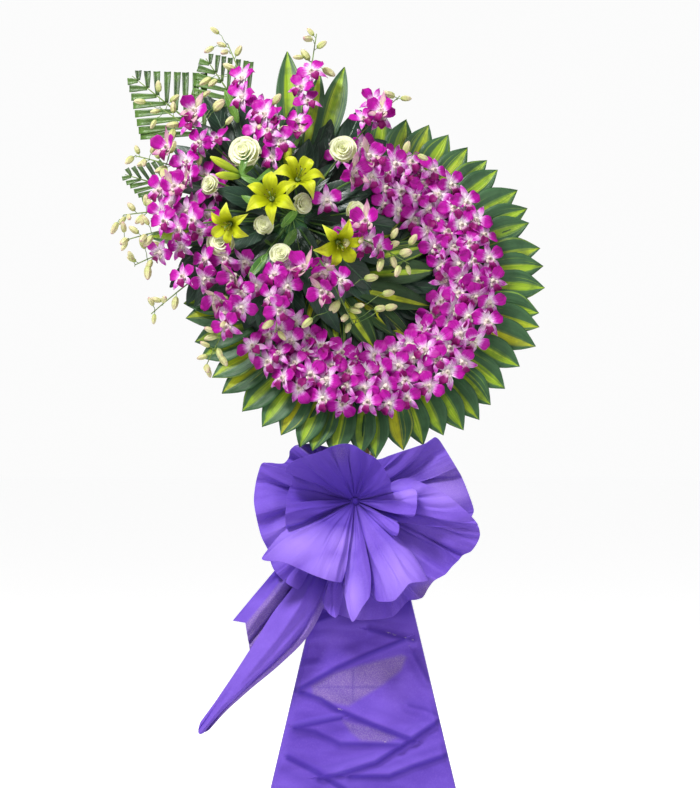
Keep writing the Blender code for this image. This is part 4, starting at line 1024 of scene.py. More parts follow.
def plantBetween(pixels, name, seed, bud, pale=False):
    draw = seeded(seed)
    whole = newWhole()
    hub = Vector(corner["hub"])
    for x, y in pixels:
        stem, gap = nearestStem(x, y)
        off = max(offFace(stem) + (0.012 if bud else 0.020) - 0.25 * gap, 0.05) + 0.006 * draw.uniform(-1, 1)
        place = atPixel(x, y, off)
        away = Vector((place.x - middle.x - hub.x, place.z - middle.z - hub.y))
        if bud:
            out = (place - stem).normalized() + Vector((0, 0, -0.25))
            length = draw.uniform(0.022, 0.033)
            foot = place - out.normalized() * length * 0.3
            addStalk(whole, stem, foot, 0.0010, 0.0008, Vector((0, -0.004, -0.010)))
            addOrchidBud(whole, foot, out.normalized(), length, draw)
        else:
            if not pale and (onBloom(place) or min((other - place).length for other in taken) < corner["clear"]):
                continue
            taken.append(place)
            tilts = [0.8 * draw.uniform(-1, 1) for k in range(2)]
            facing = direction(away.x * 2.6 + tilts[0], away.y * 2.6 + tilts[1], 1.0)
            if pale:
                place += outward * 0.022
            upright = Vector((draw.uniform(-0.8, 0.8), 0, 1))
            pose = posed(place, upright - facing * upright.dot(facing), facing)
            kind = draw.randrange(orchid["open"], orchid["kinds"]) if pale else None
            grow = draw.uniform(1.35, 1.55) if pale else draw.uniform(1.20, 1.42)
            addOrchid(whole, pose, orchid["reach"] * grow, stem, draw, kind)
    return finishPiece(whole, name, orchidPaint)


plantBetween(between["pale"], "paleOrchids", 813, False, True)
half = len(between["flowers"]) // 2
plantBetween(between["flowers"][:half], "orchidsBetweenUpper", 810, False)
plantBetween(between["flowers"][half:], "orchidsBetweenLower", 811, False)
plantBetween(between["buds"], "budsBetween", 812, True)
print("flowers and buds between the sprays planted")


# Leaves


def bladeSheet(length, half, edge, fold, arch, wide, long, wave=0.0, seed=0.0, bend=0.0):
    # a leaf along +Y that faces +Z: fold is the rise of its sides, arch its droop
    bm = startSheet(wide, long)

    def rule(across, along):
        x = across * half * max(readCurve(edge, along), 0)
        lift = -arch * length * along**2 + fold * abs(x)
        ripple = wave * half * math.sin(along * 9 + seed * 7) * across * across * (1 if across > 0 else -1)
        ripple += wave * half * 0.6 * noise.noise(Vector((across * 1.5, along * 4, seed * 13)))
        return Vector((x + bend * half * along**2, length * along, lift + ripple))

    return shapeSheet(bm, rule)


blade = {"thick": 0.0011, "thin": 0.0009, "small": 0.0008}  # thicknesses of the leaves


def addLeaf(whole, leaf, thickness, paint, pose, shade):
    addPart(whole, painted(thickened(leaf, thickness), paint), pose, shade)


rim = {
    "leaves": 52,
    "root": 0.262,
    "rootOff": 0.0056,
    "reachAcross": 0.400,
    "reachUp": 0.388,
    "half": 0.030,
    "rise": 0.05,
    "twist": 0.20,
    "edge": ((0, 0.55), (0.3, 0.86), (0.56, 1.0), (0.72, 0.84), (0.88, 0.40), (1, 0.0)),
    "bend": 0.30,  # of the tips, to the side that the stripes lie on
    "matRadius": 0.281,
    "matTop": 0.0085,
    "matUnder": 0.0008,
}


def rimReach(angle):
    return 1 / math.hypot(math.cos(angle) / rim["reachAcross"], math.sin(angle) / rim["reachUp"])


def makeRim():
    placing = seeded(0)
    draw = seeded(31)
    whole = newWhole()
    top, under = rim["matTop"], rim["matUnder"]
    addDisc(whole, rim["leaves"], rim["matRadius"], top - under, onFace(0, 0, (top + under) / 2))
    for k in range(rim["leaves"]):
        angle = 2 * math.pi * (k + 0.25 * placing.uniform(-1, 1)) / rim["leaves"]
        reach = rimReach(angle) * (1 + 0.018 * placing.uniform(-1, 1))
        half = rim["half"] * placing.uniform(0.94, 1.06)
        radial = direction(math.cos(angle), math.sin(angle), rim["rise"])
        around = direction(-math.sin(angle), math.cos(angle), 0)
        leaf = bladeSheet(
            reach - rim["root"], half * 1.06, rim["edge"], 0.16, 0.02, 8, 10, 0.06, draw.random(), rim["bend"],
        )
        pose = posed(polar(rim["root"], angle, rim["rootOff"]), radial, outward - around * rim["twist"])
        addLeaf(whole, leaf, blade["thick"], 0, pose, draw.random())
    return finishPiece(whole, "rimLeaves", [stripedLeaf, broadLeaf], ["rim_leaves"])


makeRim()
print("rim of leaves laid")

centre = {
    "leaves": (
        ((-0.055, 0.060), (0.150, 0.142), 0.030, 0.016),
        ((-0.045, 0.035), (0.158, 0.088), 0.034, 0.026),
        ((-0.030, 0.020), (0.160, 0.030), 0.040, 0.020),
        ((-0.030, -0.005), (0.150, -0.050), 0.036, 0.028),
        ((-0.030, -0.020), (0.105, -0.125), 0.034, 0.016),
        ((-0.060, -0.010), (0.030, -0.150), 0.034, 0.026),
        ((-0.080, -0.005), (-0.050, -0.152), 0.034, 0.016),
        ((-0.090, 0.010), (-0.125, -0.100), 0.034, 0.028),
        ((-0.030, 0.080), (0.090, 0.155), 0.030, 0.030),
    ),
    "edge": ((0, 0.5), (0.25, 0.82), (0.5, 1.0), (0.78, 0.72), (0.93, 0.34), (1, 0.02)),
    "narrow": 0.80,
    "under": 22,  # dark leaves below them, all round
    "mat": (-0.050, 0.020, 0.060),
}


def makeCentre():
    draw = seeded(32)
    whole = newWhole()
    across, up, radius = centre["mat"]
    addDisc(whole, 24, radius, 0.020, onFace(across, up, 0.0195))
    for k in range(centre["under"]):
        turn = 2 * math.pi * (k + 0.3 * draw.uniform(-1, 1)) / centre["under"]
        leaf = bladeSheet(
            draw.uniform(0.10, 0.125), draw.uniform(0.020, 0.026), centre["edge"], 0.2, 0.1, 4, 6, 0.12,
            draw.random(),
        )
        run = direction(math.cos(turn), math.sin(turn), 0.08)
        root = polar(draw.uniform(0.045, 0.065), turn, 0.0115 + 0.004 * (k % 2))
        pose = posed(root, run, outward + sideways * draw.uniform(-0.3, 0.3))
        addLeaf(whole, leaf, blade["thin"], 1, pose, draw.random())
    for (a, b), (c, d), half, off in centre["leaves"]:
        root, tip = seen(a, b, off - 0.006), seen(c, d, off + 0.006)
        leaf = bladeSheet(
            (tip - root).length, half * centre["narrow"], centre["edge"], 0.30, 0.02, 6, 12, 0.08, draw.random(),
        )
        addLeaf(whole, leaf, blade["thick"], 0, posed(root, tip - root, outward), draw.random())
    return finishPiece(whole, "centreLeaves", [darkStriped, broadLeaf], ["centre_leaves"])


makeCentre()

tall = {
    "leaves": (
        ((-0.150, 0.300), (-0.168, 0.524), 0.031, 0.040),
        ((-0.118, 0.330), (-0.095, 0.470), 0.024, 0.056),
        ((-0.070, 0.300), (-0.040, 0.488), 0.028, 0.040),
        ((-0.300, 0.070), (-0.475, 0.105), 0.026, 0.040),
    ),
    "edge": ((0, 0.22), (0.25, 0.62), (0.5, 0.95), (0.66, 1.0), (0.82, 0.72), (0.94, 0.3), (1, 0.02)),
}
for number, ((a, b), (c, d), half, off) in enumerate(tall["leaves"], 1):
    hub = Vector(corner["hub"])
    root = seen(*((Vector((a, b)) - hub) * 0.55 + hub), off)
    tip = seen(c, d, off)
    whole = newWhole()
    leaf = bladeSheet((tip - root).length, half, tall["edge"], 0.35, 0.03, 6, 14, 0.05, number * 0.37)
    addLeaf(whole, leaf, blade["thick"], 0, posed(root, tip - root, outward), (0.5, 0.62, 0.4, 0.55)[number - 1])
    finishPiece(whole, f"tallLeaf{number}", [wideStriped], [f"tall_leaf_{number}"], 1)
print("striped leaves made")

broad = {
    "rounds": ((10, 0.080, 0.180, -0.02, 0.0035), (9, 0.082, 0.140, 0.04, 0.0085)),
    "half": 0.031,
    "collar": 0.083,
    "base": 0.0638,  # of the collar, off the face
    "edge": ((0, 0.3), (0.2, 0.78), (0.42, 1.0), (0.7, 0.86), (0.9, 0.46), (1, 0.03)),
    "extra": 22,
    # leaves that show between the outer sprays, by the pixels of foot and tip, half width and height off
    "outer": (
        ((235, 165), (196, 118), 0.024, 0.050), ((222, 180), (172, 140), 0.026, 0.045), (
            (225, 190), (170, 178), 0.026, 0.040,
        ),
        ((240, 150), (222, 92), 0.024, 0.045), ((250, 150), (248, 86), 0.026, 0.040), (
            (230, 150), (206, 90), 0.025, 0.050,
        ),
        ((262, 150), (268, 98), 0.024, 0.050), ((290, 150), (300, 96), 0.026, 0.045), (
            (316, 150), (330, 104), 0.026, 0.050,
        ),
        ((330, 160), (372, 116), 0.026, 0.060), ((340, 165), (386, 138), 0.026, 0.055), (
            (338, 158), (362, 108), 0.024, 0.065,
        ),
        ((225, 205), (160, 205), 0.026, 0.045), ((228, 218), (166, 232), 0.026, 0.045), (
            (235, 232), (178, 262), 0.026, 0.045,
        ),
        ((225, 240), (170, 282), 0.024, 0.040), ((240, 255), (196, 304), 0.026, 0.050), (
            (252, 262), (224, 320), 0.026, 0.050,
        ),
        ((268, 268), (262, 330), 0.026, 0.050), ((285, 268), (300, 340), 0.026, 0.045), (
            (300, 262), (336, 330), 0.024, 0.050,
        ),
        ((322, 250), (372, 300), 0.026, 0.045), ((330, 235), (388, 262), 0.025, 0.060), (
            (335, 215), (396, 215), 0.025, 0.055,
        ),
        ((335, 198), (392, 182), 0.025, 0.055), ((245, 190), (190, 160), 0.024, 0.060), (
            (245, 215), (186, 240), 0.024, 0.060,
        ),
        ((215, 215), (150, 216), 0.020, 0.035), ((220, 250), (186, 300), 0.022, 0.035), (
            (250, 135), (232, 80), 0.020, 0.035,
        ),
    ),
    "lightOnes": (
        ((237, 120), (224, 86), 0.011, 0.062), ((236, 180), (258, 160), 0.009, 0.150), (
            (250, 279), (268, 254), 0.011, 0.140,
        ),
        ((282, 228), (298, 209), 0.010, 0.120), ((285, 248), (297, 230), 0.010, 0.120), (
            (200, 160), (204, 132), 0.010, 0.070,
        ),
        ((262, 210), (243, 196), 0.009, 0.150), ((300, 252), (290, 289), 0.013, 0.110), (
            (266, 168), (266, 138), 0.008, 0.120,
        ),
    ),
}


def makeGreenery():
    placing = seeded(7)
    draw = seeded(33)
    whole = newWhole()
    hub = seen(*corner["hub"], broad["base"])
    turns = [2 * math.pi * k / 28 for k in range(29)]
    ring = [hub + direction(math.cos(t), math.sin(t), 0) * broad["collar"] + outward * 0.005 for t in turns]
    addTube(whole, ring, (0.006,) * 29, 8, 1, shade=0.2)
    for number, (count, start, length, rise, off) in enumerate(broad["rounds"]):
        for k in range(count):
            turn = 2 * math.pi * (k + 0.5 * number + 0.2 * placing.uniform(-1, 1)) / count
            around = direction(math.cos(turn), math.sin(turn), 0)
            run = direction(math.cos(turn), math.sin(turn), rise + 0.03 * placing.uniform(-1, 1))
            half = broad["half"] * placing.uniform(0.88, 1.08)
            leaf = bladeSheet(
                length * placing.uniform(0.85, 1.08), half, broad["edge"], 0.14, 0.26, 6, 10, 0.12, draw.random(),
            )
            pose = posed(hub + around * start + outward * off, run, outward)
            addLeaf(whole, leaf, blade["thick"], 0, pose, draw.random())
    finishPiece(whole, "broadLeaves", [broadLeaf, stemGreen], ["greenery"], 1)

    whole = newWhole()
    for k in range(broad["extra"]):
        turn = 2 * math.pi * (k + 0.4 * draw.uniform(-1, 1)) / broad["extra"]
        around = direction(math.cos(turn), math.sin(turn), 0)
        run = direction(math.cos(turn), math.sin(turn), draw.uniform(0.25, 0.75))
        root = hub + around * draw.uniform(0.02, 0.06)
        leaf = bladeSheet(
            draw.uniform(0.10, 0.15), draw.uniform(0.020, 0.027), broad["edge"], 0.2, 0.4, 6, 8, 0.12, draw.random(),
        )
        facing = outward + around * draw.uniform(-0.2, 0.2) + sideways * draw.uniform(-0.3, 0.3)
        addLeaf(whole, leaf, blade["thin"], 0, posed(root, run, facing), draw.random())
    finishPiece(whole, "innerLeaves", [broadLeaf, stemGreen], (), 1)

    whole = newWhole()
    for paint, table in ((0, broad["outer"]), (2, broad["lightOnes"])):
        for (a, b), (c, d), half, off in table:
            root, tip = atPixel(a, b, off), atPixel(c, d, off + 0.010 * draw.uniform(-1, 1))
            leaf = bladeSheet(
                (tip - root).length * 1.04, half * draw.uniform(0.9, 1.1), broad["edge"], 0.2, 0.12, 6, 8, 0.14,
                draw.random(),
            )
            facing = outward + sideways * draw.uniform(-0.35, 0.35) + upward * draw.uniform(-0.2, 0.35)
            addLeaf(whole, leaf, blade["thin"], paint, posed(root, tip - root, facing), draw.random())
            addStalk(whole, seen(*corner["hub"], broad["base"] + 0.004), root, 0.0016, 0.0012, Vector((0, 0, -0.002)))
    finishPiece(whole, "outerLeaves", [broadLeaf, stemGreen, lilyLeaf, stemGreen, stemGreen], (), 1)


makeGreenery()
print("broad leaves made")

fronds = {
    "places": (
        ((-0.345, 0.330), (-0.514, 0.466), 0.022, 8, 0.135, 50, 42),
        ((-0.255, 0.365), (-0.350, 0.506), 0.024, 7, 0.125, 38, 42),
        ((-0.400, 0.205), (-0.526, 0.243), 0.024, 6, 0.075, 40, 30),
    ),
    "rib": 0.0022,
    "cut": ((0, 0.50), (0.4, 0.74), (0.8, 0.96), (1, 1.0)),  # the widths of a leaflet, trimmed at its end
}


def makeFrond(number):
    (a, b), (c, d), off, leaflets, longest, slantRight, slantLeft = fronds["places"][number]
    draw = seeded(40 + number)
    hub = Vector(corner["hub"])
    root, tip = seen(a, b, off), seen(c, d, off)
    foot = seen(*((Vector((a, b)) - hub) * 0.30 + hub), off + 0.012)
    pose = posed(root, tip - root, outward)
    length = (tip - root).length
    whole = newWhole()
    line = [foot, (foot + root) / 2, root, root + (tip - root) * 0.5, tip]
    addTube(whole, line, (0.0030, 0.0028, 0.0026, 0.0020, 0.0009), 6, 1, shade=0.6)
    count = leaflets
    pitch = length / count
    for side, slant in ((-1, slantLeft), (1, slantRight)):
        for k in range(count):
            run = (k + 0.35) * pitch
            reach = longest * (1 - (k + 0.35) / count) + 0.012
            turn = math.radians(slant + draw.uniform(-2, 2))
            half = pitch * math.sin(math.radians(slant)) * (0.36 if side > 0 else 0.46)
            leaf = bladeSheet(reach, half, fronds["cut"], 0.35, 0.06, 4, 8, 0.10, draw.random())
            heading = Vector((side * math.sin(turn), math.cos(turn), 0))
            local = posed(Vector((side * fronds["rib"] * 0.5, run, 0.0005)), heading, Vector((0, 0, 1)))
            shade = draw.uniform(0.0, 0.35) if side > 0 else draw.uniform(0.5, 1.0)
            addLeaf(whole, leaf, blade["small"], 0, pose @ local, shade)
    finishPiece(whole, f"frond{number + 1}", [frondLeaf, stemGreen], [f"frond_{number + 1}"])


for number in range(3):
    makeFrond(number)
print("fronds made")


# Roses and lilies


def headed(across, up, off, turn, tip):
    place = seen(across, up, off)
    facing = direction(turn, tip, 1.0)
    inward = seen(*corner["hub"], corner["foot"]) - place
    flat = inward - outward * inward.dot(outward)
    foot = place + flat.normalized() * max(0.0, flat.length - 0.045)
    foot -= outward * (offFace(foot) - corner["foot"])
    return place, facing, foot


def addFlowerStem(whole, place, facing, foot, neck):
    start = place - facing * neck
    bend = start * 0.45 + foot * 0.55 - facing * 0.010
    line = [curvePoint((start, bend, foot), k / 6) for k in range(7)]
    addTube(whole, line, (corner["stemRadius"],) * 7, 6, 1, shade=0.3)


roses = {
    "places": (
        (-0.258, 0.284, 0.150, 0.036, -0.15, 0.25),
        (-0.044, 0.291, 0.140, 0.031, 0.15, 0.25),
        (-0.335, 0.214, 0.120, 0.022, -0.5, 0.1),
        (-0.130, 0.172, 0.118, 0.023, 0.6, 0.0),
        (-0.308, 0.086, 0.125, 0.031, -0.3, -0.35),
        (-0.178, 0.060, 0.150, 0.024, 0.0, -0.9),
        (-0.016, 0.154, 0.150, 0.023, 0.3, -0.1),
        (-0.216, 0.125, 0.118, 0.022, -0.1, -0.6),
    ),
    # each round: petals, radius of its rim, height of its rim, foot radius, foot height, outward roll
    "rounds": (
        (2, 0.14, 0.60, 0.03, 0.30, 0.00),
        (3, 0.27, 0.60, 0.08, 0.32, 0.00),
        (3, 0.42, 0.57, 0.18, 0.22, 0.01),
        (4, 0.58, 0.47, 0.30, 0.05, 0.03),
        (4, 0.74, 0.32, 0.36, -0.30, 0.06),
        (5, 0.87, 0.06, 0.20, -0.85, 0.10),
    ),
    "thickness": 0.016,
}


def rosePetalSheet(spread, rimRadius, rimHeight, footRadius, footHeight, roll, seed):
    bm = startSheet(6, 6)

    def rule(across, along):
        swell = math.sin(along * math.pi * 0.5) if footHeight < -0.5 else along**1.2
        r = footRadius + (rimRadius - footRadius) * swell
        z = footHeight + (rimHeight - footHeight) * (along**0.9 if footHeight < -0.5 else along**0.6)
        lip = max(along - 0.72, 0) / 0.28
        r += roll * lip * lip * 1.3
        z -= roll * lip * lip * 0.6
        cornerShare = max(abs(across) - 0.55, 0) / 0.45
        z -= (rimHeight - footHeight) * 0.26 * cornerShare * cornerShare * along
        r += 0.05 * abs(across) ** 3 + 0.06 * noise.noise(Vector((across * 2.2, along * 2.2, seed * 9)))
        z += 0.12 * along * noise.noise(Vector((across * 1.7, seed * 25, along)))
        r += 0.03 * lip * math.sin(across * 5 + seed * 20)
        angle = across * spread * (0.45 + 0.55 * swell)
        return Vector((r * math.sin(angle), -r * math.cos(angle), z))

    return shapeSheet(bm, rule)


def makeRose(number):
    across, up, off, radius, turn, tip = roses["places"][number]
    draw = seeded(60 + number)
    place, facing, foot = headed(across, up, off, turn, tip)
    pose = posed(place, upward + sideways * 0.3 * ((number + 1) % 3), facing) @ Matrix.Scale(radius, 4)
    whole = newWhole()
    addFlowerStem(whole, place, facing, foot, radius * 0.8)
    start = draw.uniform(0, 6)
    for level, (count, rimRadius, rimHeight, footRadius, footHeight, roll) in enumerate(roses["rounds"]):
        for k in range(count):
            spread = math.pi / count * 1.7
            wide, high = rimRadius * draw.uniform(0.94, 1.05), rimHeight * draw.uniform(0.86, 1.12)
            turnedOut = roll * draw.uniform(0.6, 1.4)
            petal = rosePetalSheet(spread, wide, high, footRadius, footHeight, turnedOut, draw.random())
            thickened(petal, roses["thickness"])
            angle = start + 2 * math.pi * (k + 0.15 * draw.uniform(-1, 1)) / count + level * 0.7
            addPart(whole, painted(petal, 0), pose @ Matrix.Rotation(angle, 4, "Z"), 0.35 + 0.3 * draw.random())
    heart, cup = standing((-0.6, -0.1, 0.22, 0.42, 0.52)), standing((-1.0, -0.88, -0.7))
    addTube(whole, heart, (0.30, 0.40, 0.26, 0.09, 0.02), 10, 0, pose, 0.4)
    addTube(whole, cup, (0.10, 0.20, 0.22), 8, 1, pose, 0.2)
    finishPiece(whole, f"rose{number + 1}", [rosePetal, stemGreen], [f"rose_{number + 1}"], 1)


for number in range(len(roses["places"])):
    makeRose(number)
print("roses made")

lilies = {
    "places": (
        (-0.199, 0.184, 0.190, 0.062, -0.10, 0.05, 0.0),
        (-0.138, 0.232, 0.165, 0.060, 0.25, 0.30, 0.5),
        (-0.050, 0.080, 0.160, 0.058, 0.30, -0.60, 0.2),
        (-0.292, 0.122, 0.160, 0.050, -0.35, -0.55, 0.1),
    ),
    "edge": ((0, 0.34), (0.2, 0.74), (0.42, 1.0), (0.62, 0.84), (0.82, 0.42), (1, 0.0)),
    "half": (0.27, 0.21),  # of the inner and the outer petals
    "thickness": 0.012,
    "stamen": ((0.0, 0.0011), (0.50, 0.0009), (0.56, 0.0026), (0.66, 0.0012)),
}


def lilyPetalSheet(half, droop, seed):
    bm = startSheet(6, 9)

    def rule(across, along):
        out = 0.06 + 0.96 * along
        lift = -0.30 + 0.62 * math.sin(min(along * 1.45, 1) * math.pi / 2) - droop * max(along - 0.45, 0) ** 2 * 1.6
        x = across * half * readCurve(lilies["edge"], along)
        lift += 0.32 * x * x / half - 0.05 * math.exp(-((across / 0.16) ** 2)) * math.sin(along * math.pi)
        lift += 0.02 * math.sin(along * 16 + seed * 6) * across * abs(across)
        return Vector((x, out, lift - 0.10))

    return shapeSheet(bm, rule)


def makeLily(number):
    across, up, off, reach, turn, tip, spin = lilies["places"][number]
    draw = seeded(80 + number)
    place, facing, foot = headed(across, up, off, turn, tip)
    upright = upward * math.cos(spin) + sideways * math.sin(spin)
    pose = posed(place, upright - facing * upright.dot(facing), facing)
    scaled = pose @ Matrix.Scale(reach, 4)
    whole = newWhole()
    addFlowerStem(whole, place, facing, foot, reach * 0.66)
    for k in range(6):
        petal = lilyPetalSheet(lilies["half"][0 if k % 2 else 1], draw.uniform(0.7, 1.1), draw.random())
        thickened(petal, lilies["thickness"])
        lower = Matrix.Translation((0, 0, 0.012 if k % 2 else -0.012))
        angle = math.radians(60 * k + 30 - 90 + draw.uniform(-3, 3))
        addPart(whole, painted(petal, 0), scaled @ lower @ Matrix.Rotation(angle, 4, "Z"), draw.random())
    addTube(whole, standing((-0.75, -0.5, -0.34, -0.24)), (0.03, 0.07, 0.10, 0.12), 8, 1, scaled)
    for k in range(6):
        angle = math.radians(60 * k + draw.uniform(-8, 8))
        heading = Vector((0.32 * math.cos(angle), 0.32 * math.sin(angle), 1.0)).normalized()
        points = [Vector((0, 0, -0.30 * reach)) + heading * reach * share for share, radius in lilies["stamen"]]
        addTube(whole, points, [radius for share, radius in lilies["stamen"]], 5, 2, pose)
    pistil = standing((-0.3, 0.1, 0.36, 0.42, 0.45), reach)
    addTube(whole, pistil, (0.0016, 0.0012, 0.0013, 0.0030, 0.0016), 6, 1, pose, 0.9)
    finishPiece(whole, f"lily{number + 1}", [lilyPetal, stemGreen, lilyAnther], [f"lily_{number + 1}"], 1)


for number in range(len(lilies["places"])):
    makeLily(number)

lilyBuds = {
    "places": (
        (((-0.268, 0.236), (-0.332, 0.272)), ((-0.266, 0.228), (-0.320, 0.232)), 0.170),
        (((-0.184, 0.262), (-0.178, 0.308)), ((-0.168, 0.252), (-0.160, 0.300)), 0.150),
    ),
    "radius": 0.0105,
    "leaf": 0.085,
}


def makeLilyBuds(number):
    first, second, off = lilyBuds["places"][number]
    draw = seeded(90 + number)
    across, up = (first[0][0] + second[0][0]) / 2, (first[0][1] + second[0][1]) / 2
    joint = seen(across, up, off - 0.012)
    place, facing, foot = headed(across, up, off - 0.012, 0, 0)
    whole = newWhole()
    addFlowerStem(whole, place, facing, foot, -0.002)
    for (a, b), (c, d) in (first, second):
        root, tip = seen(a, b, off - 0.006), seen(c, d, off + 0.010)
        run = tip - root
        fork = [joint, (joint + root) / 2, root + run * 0.06]
        addTube(whole, fork, (corner["stemRadius"],) * 3, 6, 1, shade=0.6)
        radius = lilyBuds["radius"]
        points = [Vector((0, run.length * s, 0)) for s in (0.0, 0.12, 0.4, 0.7, 0.92, 1.0)]
        body = rolledTube(points, [radius * s for s in (0.25, 0.62, 0.95, 1.0, 0.5, 0.12)], 12)
        for v in body.verts:  # three sutures along the bud
            angle = math.atan2(v.co.z, v.co.x)
            v.co.x *= 1 - 0.13 * abs(math.cos(1.5 * angle)) ** 6
            v.co.z *= 1 - 0.13 * abs(math.cos(1.5 * angle)) ** 6
        addPart(whole, painted(body, 0), posed(root, run, outward), draw.random())
    for k in range(3):
        turn = draw.uniform(0, 6)
        run = direction(math.cos(turn), math.sin(turn), 0.2)
        leaf = bladeSheet(
            lilyBuds["leaf"] * draw.uniform(0.7, 1.0), 0.008, ((0, 0.4), (0.35, 1.0), (0.75, 0.6), (1, 0.03)), 0.4,
            0.3, 2, 8, 0.1, draw.random(),
        )
        addLeaf(whole, leaf, blade["small"], 2, posed(joint, run, outward), draw.random())
    finishPiece(
        whole, f"lilyBuds{number + 1}", [lilyBud, stemGreen, lilyLeaf], [f"lily_buds_{number + 1}"], 1,
    )


for number in range(2):
    makeLilyBuds(number)
print("lilies made")


# Cloth

cloth = {
    "thickness": 0.0010,
    "frontLayer": -0.0308,
    "lathThick": 0.020,
    "gap": 0.0008,
}


def clothPiece(bm, name, node):
    whole = newWhole()
    addPart(whole, painted(bm, 0))
    made = finishPiece(whole, name, [purpleCloth], [node])
    solid = made.modifiers.new("thickness", "SOLIDIFY")
    solid.thickness = cloth["thickness"]
    solid.offset = 0
    return made


def setPaint(made, name, rule):
    layer = made.data.attributes.get(name) or made.data.attributes.new(name, "FLOAT", "POINT")
    for number, v in enumerate(made.data.vertices):
        layer.data[number].value = rule(v.co)


skirt = {
    "floorHalf": 0.2305,
    "narrowing": 0.237,
    "hem": 0.012,
    "top": 0.66,
    "flap": 0.035,
    "wide": 170,
    "long": 250,
    "frontShare": 0.85,  # of the columns, for the front
    # laps of the wound cloth, by pixel along their edge; the cloth on the left of the way lies on top
    # by a height in metres, and comes down over so many pixels
    "laps": (
        (((300, 684), (318, 674), (338, 663), (368, 650), (403, 636)), 0.0075, 15),
        (((296, 685), (322, 694), (338, 704), (374, 719), (412, 733)), 0.0070, 17),
        (((341, 713), (315, 718), (296, 722)), 0.0065, 13),
        (((296, 721), (316, 725), (340, 737), (399, 738)), 0.0055, 16),
        (((320, 769), (336, 767), (375, 755), (403, 737), (437, 715)), 0.0085, 11),
        (((353, 789), (343, 781), (315, 764), (289, 751)), 0.0075, 15),
        (((350, 768), (388, 768), (413, 758), (447, 747)), 0.0065, 11),
        (((428, 677), (422, 667), (413, 651)), 0.0045, 9),
        (((437, 710), (424, 704), (408, 700)), 0.0040, 9),
        (((318, 660), (302, 662)), 0.0035, 8),
        (((361, 615), (343, 612), (318, 619)), 0.0055, 12),
        (((413, 638), (392, 634), (370, 628)), 0.0055, 15),
    ),
    "lapEnd": 16,  # pixels over which a lap fades past its ends
    "lapStep": 7,  # and over which its edge comes down
    "sheerEdge": 4,
    "sheer": (
        (
            (311, 681), (336, 667), (368, 659), (400, 650), (407, 654), (401, 667), (383, 681), (347, 703),
            (329, 698), (313, 695),
        ),
        ((341, 714), (370, 720), (401, 731), (386, 737), (361, 735), (350, 727)),
    ),
    # small tears: the pixel and half their length
    "torn": ((388, 630, 6), (394, 632, 5), (405, 635, 4), (412, 637, 4), (409, 643, 3), (340, 704, 6), (384, 735, 5)),
}


def skirtHalf(height):
    return skirt["floorHalf"] - skirt["narrowing"] * height


def toPixel(co):
    scale = wreath["metresPerPixel"]
    x = (co.x - middle.x) / scale + wreath["middlePixel"][0]
    return x, wreath["middlePixel"][1] - (co.z - middle.z) / scale


def besideLine(points, x, y):  # how far to the left of a way, and how far past its ends
    best = None
    last = len(points) - 2
    for k in range(last + 1):
        (x0, y0), (x1, y1) = points[k], points[k + 1]
        length = math.hypot(x1 - x0, y1 - y0)
        ux, uy = (x1 - x0) / length, (y1 - y0) / length
        along = (x - x0) * ux + (y - y0) * uy
        left = (x - x0) * uy - (y - y0) * ux
        over = max(-along if k == 0 else 0, along - length if k == last else 0, 0)
        clamped = min(max(along, 0), length)
        away = math.hypot(x - x0 - ux * clamped, y - y0 - uy * clamped)
        if best is None or away < best[0]:
            best = (away, left, over)
    away, left, over = best
    return (away if left > 0 else -away), over


def lapPlay(x, y):  # height, and painted shade along the lap edges and creases, at a pixel
    height = shadeAndDeepTone = 0.0
    for points, rise, wide in skirt["laps"]:
        beside, over = besideLine(points, x, y)
        fade = max(0.0, 1 - over / skirt["lapEnd"])
        fade = fade * fade * (3 - 2 * fade)
        if beside >= 0:
            height += rise * fade * max(0.0, 1 - beside / (1.6 * wide)) ** 1.7
            shadeAndDeepTone = max(shadeAndDeepTone, 0.30 * fade * max(0.0, 1 - abs(beside - 0.8 * wide) / (0.6 * wide)))
            shadeAndDeepTone = max(shadeAndDeepTone, fade * math.exp(-((beside / 2.2) ** 2)) * min(1.0, rise / 0.007))
        else:
            step = max(0.0, 1 + beside / skirt["lapStep"])
            height += rise * fade * step * step * (3 - 2 * step)
            shadeAndDeepTone = max(shadeAndDeepTone, fade * math.exp(-((beside / 4.2) ** 2)) * min(1.0, rise / 0.007))
            shadeAndDeepTone = max(shadeAndDeepTone, 0.5 * fade * math.exp(beside / 9))
    return height, shadeAndDeepTone


def sheerness(x, y):
    most = 0.0
    for polygon in skirt["sheer"]:
        inside = 99.0
        for k, (x0, y0) in enumerate(polygon):
            x1, y1 = polygon[(k + 1) % len(polygon)]
            length = math.hypot(x1 - x0, y1 - y0)
            inside = min(inside, ((x1 - x0) * (y - y0) - (y1 - y0) * (x - x0)) / length)
        most = max(most, min(1.0, inside / skirt["sheerEdge"] + 0.3))
    return most


